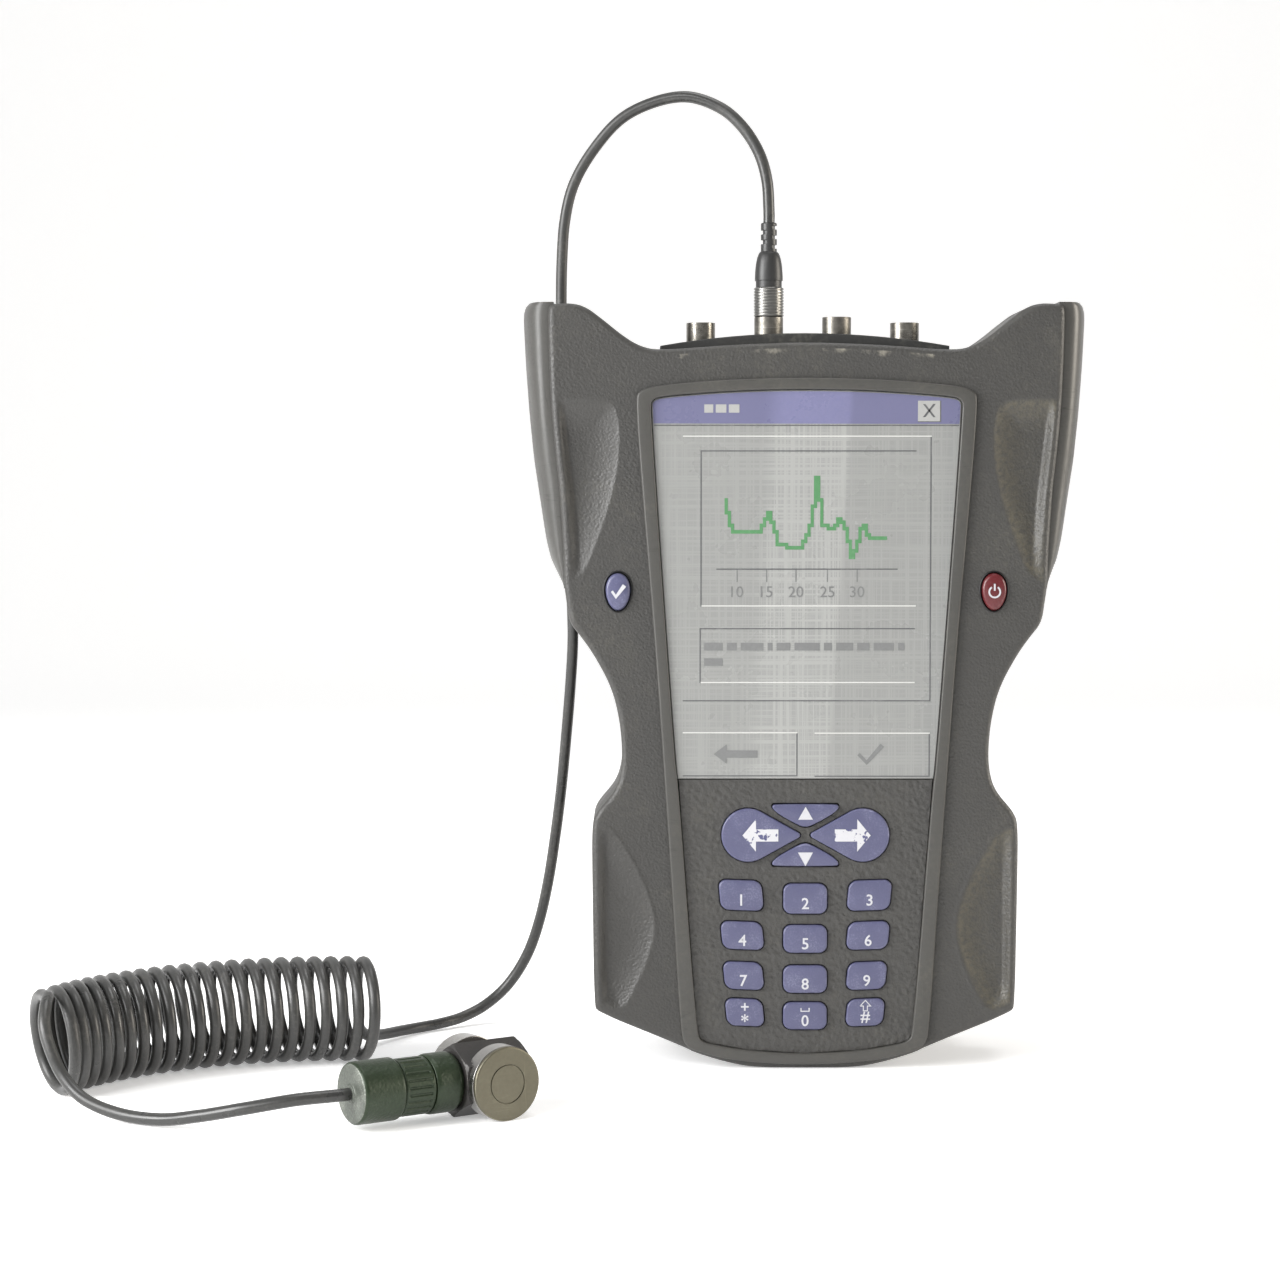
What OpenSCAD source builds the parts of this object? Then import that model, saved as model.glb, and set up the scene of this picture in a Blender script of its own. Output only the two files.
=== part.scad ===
/* [Handset case] */
// Width of the case across its upper corners
case_w = 139.5; // [130:0.5:150]
// Height of the case from the floor to the top of its upper corners
case_h = 189; // [180:1:200]
// Wall thickness of the case mouldings
wall = 2.6; // [2:0.1:3.2]
// Depth of the front moulding, from its face back to the joint
front_depth = 22; // [21:0.5:25]
// Depth of the back moulding at the upper corners
ear_depth = 8; // [7:0.5:9]
// Depth of the back moulding at the battery hump
hump_depth = 22; // [20:0.5:26]
// Depth of the shallow grip hollows in the front face
scallop_depth = 1.2; // [0.6:0.1:1.5]
// Diameter of the screws that close the case
case_screw_d = 3; // [2.5:0.1:3.5]

/* [Fascia] */
// Height that the raised frame stands proud of the case face
bezel_proud = 1.4; // [0.8:0.1:2]
// Thickness of the screen window
window_t = 1.8; // [1:0.1:2]
// Thickness of the keypad plate
plate_t = 1.4; // [1:0.1:1.6]
// Height of the joint line between the window and the keypad plate, as a share of the case height
split_share = 0.3794; // [0.37:0.001:0.385]
// Height that a key stands proud of the keypad plate
key_proud = 0.9; // [0.85:0.05:1.4]
// Travel of every key
key_travel = 0.8; // [0.4:0.1:0.8]
// Gap around each key and between fitted parts
fit_gap = 0.2; // [0.15:0.05:0.3]

/* [Sockets and plug] */
// Distance between neighbouring sockets
socket_pitch = 17; // [16:0.1:19]
// Outside diameter of a socket shell
socket_d = 7.2; // [7:0.1:7.6]
// Bore of a socket shell
socket_bore = 5.4; // [5:0.1:5.8]
// Depth of the open bore of a socket
socket_bore_depth = 8; // [6:0.5:9]
// Whole length of a socket shell
socket_len = 14; // [12:0.5:16]
// Outside diameter of the knurled latch sleeve
sleeve_d = 7.6; // [7.5:0.1:8.2]
// Length of the latch sleeve
sleeve_len = 7.3; // [6.5:0.1:8]
// Pull of the latch sleeve that frees the plug
sleeve_pull = 1.5; // [1:0.1:1.5]
// Number of grip rings on the latch sleeve
sleeve_rings = 8; // [5:1:9]

/* [Lead] */
// Diameter of the lead
cord_d = 2.9; // [2.8:0.1:3]
// Mean radius of the curls
curl_r = 11.7; // [11:0.1:12.5]
// Number of curls, the loose last one included
curls = 22; // [18:1:23]
// Length of the curly part along its axis, without the loose last curl
curly_len = 84.8; // [82:0.1:95]

/* [Accelerometer] */
// Size of the hexagonal body across its corners
hex_d = 17; // [15:0.5:20]
// Length of the hexagonal body
hex_len = 17.4; // [16:0.1:20]
// Whole length of the sensing cylinder that crosses the body
cross_len = 21; // [20:0.1:24]
// Thickness of the disc on the end that meets the machine
disc_t = 0.9; // [0.7:0.1:1.1]
// Outside diameter of the fixed connector barrel
barrel_d = 13.8; // [13:0.1:15]
// Length of the fixed connector barrel
barrel_len = 7.2; // [6:0.1:8]
// Outside diameter of the coupling ring
coupling_d = 13.1; // [12.5:0.1:13.8]
// Length of the coupling ring with its end gaps
coupling_len = 8; // [7:0.1:9]
// Number of ribs on the coupling ring
coupling_ribs = 24; // [16:1:28]
// Outside diameter of the backshell
backshell_d = 14.2; // [13:0.1:15]
// Length of the backshell
backshell_len = 10.6; // [9:0.1:12]

/* [Hidden] */

// One overrun serves every cut
over = 0.5;
half_w = case_w / 2;
mid_z = case_h / 2;
split_z = split_share * case_h;
face_y = -front_depth;
inner_y = face_y + wall;
// Radii of the case's outer edges: at its face, at the back of its corners and round its hump
face_edge_r = 1.4;
ear_edge_r = 2.2;
hump_edge_r = 5;

// Outline of the case face, right half from the floor up, as shares of half width and height
low_outline_share = [[0, 0], [0.172, 0], [0.268, 0.006], [0.394, 0.02], [0.422, 0.0265],
    [0.734, 0.073], [0.746, 0.082], [0.752, 0.238], [0.754, 0.318], [0.739, 0.336],
    [0.671, 0.3635], [0.65, 0.389], [0.646, 0.419], [0.657, 0.46], [0.685, 0.5],
    [0.745, 0.541], [0.793, 0.566], [0.832, 0.583], [0.842, 0.61]];
// Flank between the case face and the bumper: share of height, face share, bumper share
flank_share = [[0.632, 0.851, 0.856], [0.645, 0.852, 0.875], [0.665, 0.8525, 0.902],
    [0.692, 0.856, 0.92], [0.761, 0.868, 0.948], [0.794, 0.879, 0.962], [0.857, 0.895, 0.979],
    [0.918, 0.902, 0.991], [0.976, 0.906, 0.9985]];
top_outline_share = [[0.904, 0.994], [0.885, 0.9965], [0.79, 0.997], [0.713, 0.976],
    [0.651, 0.957], [0.588, 0.942], [0.519, 0.936], [0.26, 0.9435], [0, 0.947]];
half_share = concat(low_outline_share, [for (f = flank_share) [f[1], f[0]]], top_outline_share);

// Outline of the fascia frame and of its opening, right half, as shares of half width and height
bezel_share = [[0, 0.005], [0.25, 0.0105], [0.395, 0.0245], [0.425, 0.032], [0.44, 0.05],
    [0.471, 0.238], [0.526, 0.535], [0.561, 0.688], [0.601, 0.872], [0.585, 0.885],
    [0.5, 0.892], [0.25, 0.899], [0, 0.901]];
opening_share = [[0, 0.0196], [0.2, 0.024], [0.33, 0.0325], [0.366, 0.037], [0.383, 0.046],
    [0.449, 0.3772], [0.459, 0.39], [0.5485, 0.862], [0.542, 0.8715], [0.515, 0.8765],
    [0.25, 0.884], [0, 0.886]];
// Upper grip hollow and lower grip hollow of the face, right side
upper_scallop_share = [[0.717, 0.8722], [0.676, 0.865], [0.661, 0.846], [0.657, 0.825],
    [0.6645, 0.781], [0.697, 0.731], [0.747, 0.68], [0.783, 0.646], [0.816, 0.621],
    [0.835, 0.64], [0.838, 0.7], [0.856, 0.77], [0.875, 0.84], [0.878, 0.8722]];
lower_scallop_share = [[0.735, 0.318], [0.695, 0.316], [0.641, 0.2875], [0.581, 0.247],
    [0.542, 0.206], [0.536, 0.178], [0.564, 0.1375], [0.65, 0.071], [0.72, 0.086],
    [0.735, 0.1]];
// Back hump, right half
hump_share = [[0, 0], [0.42, 0], [0.44, 0.008], [0.62, 0.075], [0.63, 0.1], [0.61, 0.3],
    [0.585, 0.42], [0.61, 0.55], [0.63, 0.7], [0.63, 0.86], [0.59, 0.9], [0.5, 0.91], [0, 0.91]];

function full(shares) = let (h = [for (s = shares) [s[0] * half_w, s[1] * case_h]])
    concat(h, [for (i = [len(h) - 1:-1:0]) if (h[i][0] > 0) [-h[i][0], h[i][1]]]);
function side(shares, s) = [for (p = shares) [s * p[0] * half_w, p[1] * case_h]];
function cut_corners(p) = let (n = len(p))
    [for (i = [0:n - 1]) for (k = [0.25, 0.75]) p[i] * (1 - k) + p[(i + 1) % n] * k];
// An outline drawn in towards its middle height by about one distance all round
function drawn_in(p, d, zc) = let (hx = max([for (q = p) q[0]]), hz = max([for (q = p) q[1]]) - zc)
    [for (q = p) [q[0] * (hx - d) / hx, zc + (q[1] - zc) * (hz - d) / hz]];

case_line = cut_corners(full(half_share));
bezel_line = full(bezel_share);
opening_line = full(opening_share);
hump_line = full(hump_share);
bezel_mid = (bezel_share[0][1] + bezel_share[12][1]) / 2 * case_h;
opening_mid = (opening_share[0][1] + opening_share[11][1]) / 2 * case_h;

// A flat slab with the given outline in X and Z, from y0 back to y1
module slab(line, y0, y1) {
    translate([0, y1, 0]) rotate([90, 0, 0]) linear_extrude(y1 - y0) polygon(line);
}
// A block with the given outline from y_face to y_end, its edge at y_face eased in steps along a
// quarter round of radius r
module eased(line, r, zc, y_face, y_end, steps) {
    s = sign(y_end - y_face);
    for (k = [0:steps - 1]) {
        y = y_face + s * r * (1 - cos(90 * k / steps));
        slab(drawn_in(line, r * (1 - sin(90 * (k + 1 / 2) / steps)), zc), min(y, y_end),
            max(y, y_end));
    }
}
module rod(x, z, d, y0, y1, n = 32) {
    translate([x, y1, z]) rotate([90, 0, 0]) cylinder(d = d, h = y1 - y0, $fn = n);
}
module block(x, z, w, h, y0, y1) {
    translate([x - w / 2, y0, z - h / 2]) cube([w, y1 - y0, h]);
}

// Case screws: places of their bosses, and the screws' own sizes
boss_share = [[0.774, 0.91], [0.695, 0.566], [0.652, 0.11]];
boss_places = [for (s = [-1, 1]) for (b = boss_share) [s * b[0] * half_w, b[1] * case_h]];
boss_wall = 2;
boss_d = case_screw_d + 2 * boss_wall;
head_rim = 1.1;
case_head_d = case_screw_d + 2 * head_rim;
case_head_t = 2;
case_head_seat = 2.6;
case_grip = 10;
// Play of a screw in its hole, bite of its thread, and how far its tip stays off the hole's end
screw_play = 0.4;
thread_bite = 0.3;
tip_gap = 1;
// Board: its plane, outline and fixings
board_y = -12;
board_t = 1.6;
board_lug_share = [[0.502, 0.127], [0.573, 0.624]];
board_places = [for (s = [-1, 1]) for (b = board_lug_share) [s * b[0] * half_w, b[1] * case_h]];
standoff_d = 5;
board_screw_d = 2;
board_screw_len = 5;
board_head_d = 4;
board_head_t = 1.5;
board_share = [[0, 0.085], [0.545, 0.085], [0.545, 0.56], [0.617, 0.56], [0.617, 0.598],
    [0.735, 0.598], [0.735, 0.65], [0.617, 0.65], [0.617, 0.845], [0, 0.845]];
// Side buttons: an egg outline, wider at its top
button_x_share = 0.661;
button_z_share = 0.624;
gasket_w = 7.2;
gasket_h = 10.2;
button_w = 6;
button_h = 9.1;
button_proud = 1.3;
button_root = 3;
egg_share = 0.1;
button_front = face_y - button_proud;
button_back = face_y + button_root;
function egg(cx, cz, w, h) = [for (a = [0:12:348])
    [cx + w / 2 * cos(a) * (1 + egg_share * sin(a)), cz + h / 2 * sin(a)]];
button_x = button_x_share * half_w;
button_z = button_z_share * case_h;

// Connector panel: an arched top edge, a flat underside
panel_half_share = 0.512;
panel_end_share = 0.944;
panel_top_share = 0.9605;
panel_under_share = 0.9205;
panel_y0 = -14;
panel_y1 = 5;
panel_half = panel_half_share * half_w;
panel_under = panel_under_share * case_h;
function panel_top(x) = case_h * (panel_top_share
    - (panel_top_share - panel_end_share) * pow(x / panel_half, 2));
panel_line = concat([[-panel_half, panel_under], [panel_half, panel_under]],
    [for (i = [8:-1:-8]) [panel_half * i / 8, panel_top(panel_half * i / 8)]]);

// Sockets stand on the panel; the inner pair stands higher because the panel is arched
socket_y = -4;
socket_rise = 4.6;
socket_floor = 1;
insert_step = 0.2;
insert_bore = socket_bore - 2 * insert_step;
nut_d = 10.4;
nut_t = 2.2;
thread_gap = 0.1;
socket_x = [-1.5 * socket_pitch, -0.5 * socket_pitch, 0.5 * socket_pitch, 1.5 * socket_pitch];
function socket_top(i) = panel_top(abs(socket_x[i])) + socket_rise;

// Plug: it stands in the second socket
plug_x = socket_x[1];
plug_top = socket_top(1);
nose_d = 5.2;
nose_bore = 4.2;
nose_gap = 0.2;
sleeve_gap = 0.05;
sleeve_seat = 0.1;
sleeve_wide_bore = 6.8;
sleeve_step = 3.5;
boot_skirt_d = 6.6;
boot_d = 7;
spigot_d = 4;
spigot_len = 3;
boot_len = 8.9;
relief_d = 4;
relief_len = 7.2;
relief_slots = 5;
relief_slot_t = 0.6;
relief_slot_cut = 0.7;
pin_d = 0.6;
pin_circle = 2.4;
pin_count = 4;
pin_reach = 2.6;
pin_foot = 3;
nose_wall = 1;
pin_tip_gap = 0.4;
sleeve_base = plug_top + sleeve_seat;
shoulder_z = sleeve_base + sleeve_step + sleeve_pull + fit_gap;
sleeve_end = sleeve_base + sleeve_len;
boot_end = sleeve_end + boot_len;
relief_end = boot_end + relief_len;
nose_base = plug_top - socket_bore_depth + nose_gap;

// Keys: rows and columns of the number pad
plate_proud = 0.2;
keypad_y = face_y - plate_proud;
key_front = keypad_y - key_proud;
rest_gap = 0.1;
key_back = keypad_y + plate_t + rest_gap;
column_x_share = 0.2265;
column_step = 0.312;
key_w_share = [0.152, 0.147, 0.1385, 0.1325];
row_z_share = [0.2282, 0.1754, 0.1226, 0.0744];
key_h_share = [0.0395, 0.0365, 0.0362, 0.0357];
centre_w_share = 0.155;
centre_drop = 0.85;
key_corner = 2;
key_lean = 0.7;
// A key outline with round corners: lean slants its outer edge to follow the tapering plate
function corner(c, r, a0, n = 4) = [for (k = [0:n]) c + r * [cos(a0 + 90 * k / n), sin(a0 + 90 * k / n)]];
function key_line(cx, cz, w, h, lean, tip) = let (r = key_corner, u = w / 2 - r, v = h / 2 - r)
    [for (q = concat(corner([u, v], r, 0), corner([-u, v], r, 90), corner([-u, -v], r, 180),
        corner([u, -v], r, 270)))
        [cx + q[0] + lean * q[1] / h, cz + q[1] + tip * q[0] / w]];
// Column -1, 0 or 1 and row 0 to 3 of a number key
function pad_line(c, r) = let (w = (c == 0 ? centre_w_share : key_w_share[r]) * half_w,
    x = c * (column_x_share * half_w - r * column_step))
    key_line(x, row_z_share[r] * case_h - (c == 0 ? centre_drop : 0), w, key_h_share[r] * case_h,
        c * key_lean, c * key_lean / 2);
// Arrow keys: a round outer end and a tip that points at the middle
arrow_z_share = 0.3069;
arrow_out_share = 0.202;
arrow_r = 6.6;
arrow_tip_share = 0.018;
arrow_tip_r = 0.7;
function arrow_line(s) = let (z = arrow_z_share * case_h, x1 = arrow_out_share * half_w,
    x0 = arrow_tip_share * half_w + arrow_tip_r, lift = asin((arrow_r - arrow_tip_r) / (x1 - x0)))
    [for (q = concat([for (k = [-7:7]) [x1, z] + arrow_r * [cos(k * (90 + lift) / 7),
        sin(k * (90 + lift) / 7)]], [for (k = [-2:2]) [x0, z] - arrow_tip_r
        * [cos(k * (90 - lift) / 2), sin(k * (90 - lift) / 2)]])) [s * q[0], q[1]]];
up_share = [[0, 0.3175], [0.02, 0.319], [0.09, 0.333], [0.115, 0.341], [0.118, 0.3445],
    [0.112, 0.3475]];
up_mirror = 2 * arrow_z_share;
up_line = full(up_share);
down_line = [for (q = up_line) [q[0], up_mirror * case_h - q[1]]];

key_lines = [up_line, down_line, arrow_line(-1), arrow_line(1),
    pad_line(-1, 0), pad_line(0, 0), pad_line(1, 0), pad_line(-1, 1), pad_line(0, 1), pad_line(1, 1),
    pad_line(-1, 2), pad_line(0, 2), pad_line(1, 2), pad_line(-1, 3), pad_line(0, 3), pad_line(1, 3)];
// The same outline grown about its own middle, for the hole that a key slides in
function middle(p) = [for (k = [0, 1]) (max([for (q = p) q[k]]) + min([for (q = p) q[k]])) / 2];
function extent(p) = [for (k = [0, 1]) (max([for (q = p) q[k]]) - min([for (q = p) q[k]])) / 2];
function grown(p, d) = let (m = middle(p), e = extent(p))
    [for (q = p) [for (k = [0, 1]) m[k] + (q[k] - m[k]) * (e[k] + d) / e[k]]];

// Places inside the fascia
ledge_w = 1.5;
spigot_reach = 1.2;
spigot_back = face_y + wall + spigot_reach;
ledge_front = keypad_y + plate_t + fit_gap;
window_front = ledge_front - window_t;
lcd_gap = 1;
lcd_w = 2 * (opening_share[6][0] * half_w - ledge_w - lcd_gap);
lcd_h_share = 0.434;
lcd_h = lcd_h_share * case_h;
lcd_t = 5;
lcd_z_share = 0.622;
membrane_gap = 2.2;
membrane_w = 2 * (opening_share[4][0] * half_w - ledge_w - membrane_gap);
membrane_h_share = 0.307;
membrane_h = membrane_h_share * case_h;
membrane_t = 1.2;
membrane_z_share = 0.2;
membrane_front = key_back + key_travel + rest_gap;

// Battery and its cover
battery_gap = 0.6;
battery_y = -5;
battery_z_share = 0.31;
cover_w = 60;
cover_h = 84;
cover_t = 2.2;
cover_ledge = 2;
ledge_in_w = cover_w - 2 * wall;
ledge_in_h = cover_h - 4 * wall;
battery_w = ledge_in_w - 2 * battery_gap;
battery_h = ledge_in_h - 2 * battery_gap;
cover_screw_d = 2.5;
cover_head_d = 4.6;
cover_screw_len = 2;
cover_screw_in = 3.2;
hump_inner = hump_depth - wall;
cover_z = battery_z_share * case_h;
cover_screw_z = cover_h / 2 - cover_screw_in;

// Accelerometer: it lies on its hexagon's lower edge, turned away from the case
sensor_place = [-76.5, -74, hex_d / 2];
sensor_turn = 214;
facet = hex_d / 2 * cos(30);
chamber_d = 11;
cap_spigot = 3;
cap_fit = 0.1;
bolt_d = 3.2;
bolt_head_d = 6;
bolt_head_t = 1;
piezo_d = 8.8;
piezo_t = 2.6;
mass_d = 9.6;
mass_t = 3.8;
stack_gap = 0.05;
disc_groove_d = 8.6;
disc_groove_w = 0.5;
disc_groove_t = 0.25;
rim_r = 0.5;
seam_t = 0.3;
core_d = 10.4;
core_bore = 8.4;
stub_d = 6;
stub_len = 3;
flare = 0.5;
rib_t = 0.45;
rib_w = 0.7;
rib_end = 0.9;
run_gap = 0.06;
side_gap = 0.1;
insert_len = 7;
contact_d = 1;
contact_circle = 4.4;
contact_count = 3;
barrel_end = hex_len / 2 + barrel_len;
core_join = barrel_end + coupling_len / 2;
coupling_end = barrel_end + coupling_len;
sensor_end = coupling_end + backshell_len;
cable_exit = sensor_place + sensor_end * [cos(sensor_turn), sin(sensor_turn), 0];

// Curly part: its axis bends on the floor, while its curls stay nearly parallel to each other
curl_sides = 6;
curl_rings = 8;
curl_start = [-109.3, -12];
curl_axis_z = curl_r + cord_d / 2;
bend_from = -5;
bend_to = 67;
face_from = 21;
face_to = 29;
lean_from = 0.3;
lean_to = 2;
loose_step = 0.5;
curl_pitch = curly_len / (curls - 1);
bend_rate = (bend_to - bend_from) / curly_len;
function axis_at(s) = let (a = bend_from + bend_rate * s, k = 180 / PI / bend_rate)
    curl_start + k * [-(sin(a) - sin(bend_from)), cos(a) - cos(bend_from)];
// Turn number t counts from the first top of the curls
function along(t) = curl_pitch * (t + loose_step * pow(max(0, t - curls + 1), 2));
function facing(t) = face_from + (face_to - face_from) * t / curls;
function lean(t) = lean_from + (lean_to - lean_from) * t / curls;
function outward(t) = let (a = 360 * t, f = facing(t)) [sin(a) * sin(f), -sin(a) * cos(f), cos(a)];
function curl_point(t) = let (s = along(t) + lean(t) * cos(360 * t), c = axis_at(s))
    [c[0], c[1], curl_axis_z] + curl_r * outward(t);
function unit(v) = v / norm(v);
curl_ts = [for (i = [-2:curls * curl_rings]) i / curl_rings];
tip_t = 0.001;
start_way = unit(curl_point(curl_ts[0] + tip_t) - curl_point(curl_ts[0]));
end_way = unit(curl_point(curls) - curl_point(curls - tip_t));
coil_start = curl_point(curl_ts[0]) - cord_d * start_way;
coil_end = curl_point(curls) + cord_d * end_way;
coil_points = concat([coil_start], [for (t = curl_ts) curl_point(t)], [coil_end]);
coil_outs = concat([outward(curl_ts[0])], [for (t = curl_ts) outward(t)], [outward(curls)]);

// The lead's route from the strain relief to the curls, and from the curls to the accelerometer
lead_route = [[plug_x, socket_y, relief_end], [plug_x, socket_y, relief_end + cord_d],
    [-9, -3.7, 220], [-11, -3, 227], [-15, -1.8, 233.5], [-20.5, 0, 238.5], [-28.5, 2, 241.5],
    [-37, 4, 240.5], [-45.5, 6, 236.5], [-52.5, 8, 229], [-57.5, 9.2, 220.5], [-59.8, 10, 211.5],
    [-60.6, 10.3, 201], [-60.8, 10.3, 190], [-60.8, 10.3, 178], [-60.6, 10.4, 164],
    [-60, 10.8, 150], [-59.3, 11.4, 136], [-58.5, 12.4, 121], [-58, 14, 106], [-58.6, 16.5, 94],
    [-59.8, 20, 80], [-61.3, 24, 65], [-63, 28, 52], [-65, 32, 39.5], [-67.6, 35.5, 28],
    [-71, 38.5, 18.5], [-76, 40, 10.5], [-82, 38.5, 5.2], [-88, 34.5, 2.6], [-93.5, 29.5, 1.8],
    [-98.5, 25, 1.6], [-103, 19, 1.8], [-107, 12, 2.2], [-110.3, 5, 3.2], [-112.2, 1.2, 5.6],
    coil_start - cord_d / 2 * start_way, coil_start];
tail_route = [coil_end, coil_end + cord_d / 2 * end_way, [-178, -67.9, 23.7], [-177.6, -71.7, 19.9],
    [-175.9, -73.8, 14.9], [-172.6, -75.6, 8.8], [-167, -79, 4.2], [-158, -84, 1.9], [-148, -89.5, 1.9],
    [-138.5, -94.5, 3.8], [-128, -98.5, 6.3], [-117, -98.5, 8.2], cable_exit + cord_d * [cos(sensor_turn),
    sin(sensor_turn), 0], cable_exit];
cord_sides = 8;
long_step = 2.4;

// A smooth line through the route's points, with one point added between each pair
function between(p, i) = i < 1 || i > len(p) - 3 ? (p[i] + p[i + 1]) / 2
    : (9 * (p[i] + p[i + 1]) - p[i - 1] - p[i + 2]) / 16;
function smoothed(p) = [for (i = [0:len(p) - 1]) each i == len(p) - 1 ? [p[i]]
    : norm(p[i + 1] - p[i]) > long_step * cord_d ? [p[i], between(p, i)] : [p[i]]];
function way(p, i) = unit(p[min(i + 1, len(p) - 1)] - p[max(i - 1, 0)]);
function square_to(u, w) = unit(u - (u * w) * w);
// Directions square to the line, each carried on from the last without twist
function carried(p, u, i = 0) = i >= len(p) ? []
    : let (v = square_to(u, way(p, i))) concat([v], carried(p, v, i + 1));
function ring(c, w, u, d, n) = let (v = cross(w, u))
    [for (k = [0:n - 1]) c + d / 2 * (cos(360 * k / n) * u + sin(360 * k / n) * v)];
function rings(p, us, d, n) = [for (i = [0:len(p) - 1])
    let (w = i == 0 ? unit(p[1] - p[0]) : i == len(p) - 1 ? unit(p[i] - p[i - 1]) : way(p, i))
    ring(p[i], w, square_to(us[i], w), d, n)];
module tube(r) {
    n = len(r[0]);
    m = len(r);
    points = [for (q = r) each q];
    polyhedron(points, concat([[for (k = [0:n - 1]) k]], [[for (k = [n - 1:-1:0]) (m - 1) * n + k]],
        [for (i = [0:m - 2]) for (k = [0:n - 1]) let (a = i * n + k, b = i * n + (k + 1) % n)
            each [[a, b + n, b], [a, a + n, b + n]]]));
}
coil_rings = rings(coil_points, coil_outs, cord_d, curl_sides);
// Least gap of the curly tube to itself, measured between its own points one turn on
near_turn = [for (i = [0:len(coil_rings) - 1]) for (j = [i + 5:i + 13]) if (j < len(coil_rings))
    for (a = coil_rings[i]) for (b = coil_rings[j]) norm(a - b)];
echo(least_gap_of_curls = min(near_turn));

module front_case() {
    opening = drawn_in(bezel_line, ledge_w + fit_gap, bezel_mid);
    color([0.3, 0.3, 0.28]) difference() {
        union() {
            difference() {
                eased(case_line, face_edge_r, mid_z, face_y, 0, 3);
                slab(drawn_in(case_line, wall, mid_z), inner_y, over);
            }
            for (b = boss_places) rod(b[0], b[1], boss_d, inner_y, 0);
            for (b = board_places) rod(b[0], b[1], standoff_d, inner_y, board_y);
        }
        slab(opening, face_y - over, inner_y + over);
        for (s = [-1, 1]) {
            slab(side(upper_scallop_share, s), face_y - over, face_y + scallop_depth);
            slab(side(lower_scallop_share, s), face_y - over, face_y + scallop_depth);
            slab(egg(s * button_x, button_z, gasket_w, gasket_h), face_y - over, inner_y + over);
        }
        block(0, case_h, 2 * (panel_half + fit_gap), 2 * (case_h - panel_under + fit_gap),
            panel_y0 - fit_gap, over);
        for (b = boss_places) rod(b[0], b[1], case_screw_d - screw_play, -case_grip, over);
        for (b = board_places) rod(b[0], b[1], board_screw_d - thread_bite, board_y - board_screw_len,
            board_y + over);
    }
}

module back_case() {
    ledge_y = hump_inner - cover_ledge;
    color([0.28, 0.28, 0.26]) difference() {
        union() {
            difference() {
                union() {
                    eased(case_line, ear_edge_r, mid_z, ear_depth, 0, 3);
                    eased(hump_line, hump_edge_r, 0, hump_depth, wall, 5);
                }
                slab(drawn_in(case_line, wall, mid_z), -over, ear_depth - wall);
                slab([for (q = drawn_in(hump_line, hump_edge_r, 0)) [q[0], max(q[1], wall)]], -over,
                    hump_inner);
            }
            for (b = boss_places) rod(b[0], b[1], boss_d, 0, ear_depth - wall);
            difference() {
                block(0, cover_z, cover_w + 2 * wall, cover_h + 2 * wall, ledge_y, hump_inner);
                block(0, cover_z, ledge_in_w, ledge_in_h, ledge_y - over,
                    hump_inner + over);
            }
        }
        block(0, cover_z, cover_w, cover_h, hump_inner, hump_depth + over);
        for (s = [-1, 1]) rod(0, cover_z + s * cover_screw_z, cover_screw_d - thread_bite, ledge_y - over,
            hump_inner + over);
        block(0, case_h, 2 * (panel_half + fit_gap), 2 * (case_h - panel_under + fit_gap), -over,
            panel_y1 + fit_gap);
        for (b = boss_places) {
            rod(b[0], b[1], case_screw_d + screw_play, -over, ear_depth + over);
            rod(b[0], b[1], case_head_d + screw_play, ear_depth - case_head_seat, ear_depth + over);
        }
    }
}

// Corner bumper: a skin of five-sided sections from the flank's lower end to its top
bumper_in = 1.6;
bumper_chin_in = 5;
bumper_belly_in = 14;
bumper_back_in = 2.4;
bumper_heel = 1;
chin_share = 0.72;
heel_share = 0.85;
bumper_front = face_y + bumper_in;
bumper_chin = face_y + bumper_chin_in;
bumper_belly = face_y + bumper_belly_in;
bumper_back = ear_depth - bumper_back_in;
bumper_gap = 0.12;
bumper_least = 0.5;
function bumper_section(s, f) = let (a = f[1] * half_w + bumper_gap,
    b = max(f[2] * half_w, a + bumper_least), z = f[0] * case_h)
    [for (q = [[a, bumper_front], [a + (b - a) * chin_share, bumper_chin], [b, bumper_belly],
        [a + (b - a) * heel_share, bumper_back], [a, bumper_back + bumper_heel]]) [s * q[0], q[1], z]];
bumper_top_share = [[0.99, 0.905, 0.993], [0.999, 0.904, 0.962]];
module bumper(s) {
    sections = [for (f = concat(flank_share, bumper_top_share)) bumper_section(s, f)];
    color([0.36, 0.36, 0.34]) if (s > 0) tube(sections);
    else tube([for (q = sections) [for (k = [4:-1:0]) q[k]]]);
}
module left_bumper() {
    bumper(-1);
}
module right_bumper() {
    bumper(1);
}

module bezel_frame() {
    color([0.42, 0.42, 0.39]) difference() {
        union() {
            slab(bezel_line, face_y - bezel_proud, face_y);
            slab(drawn_in(bezel_line, ledge_w + 2 * fit_gap, bezel_mid), face_y, spigot_back);
        }
        slab(opening_line, face_y - bezel_proud - over, ledge_front);
        slab(drawn_in(opening_line, ledge_w, opening_mid), ledge_front - over, spigot_back + over);
    }
}
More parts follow.
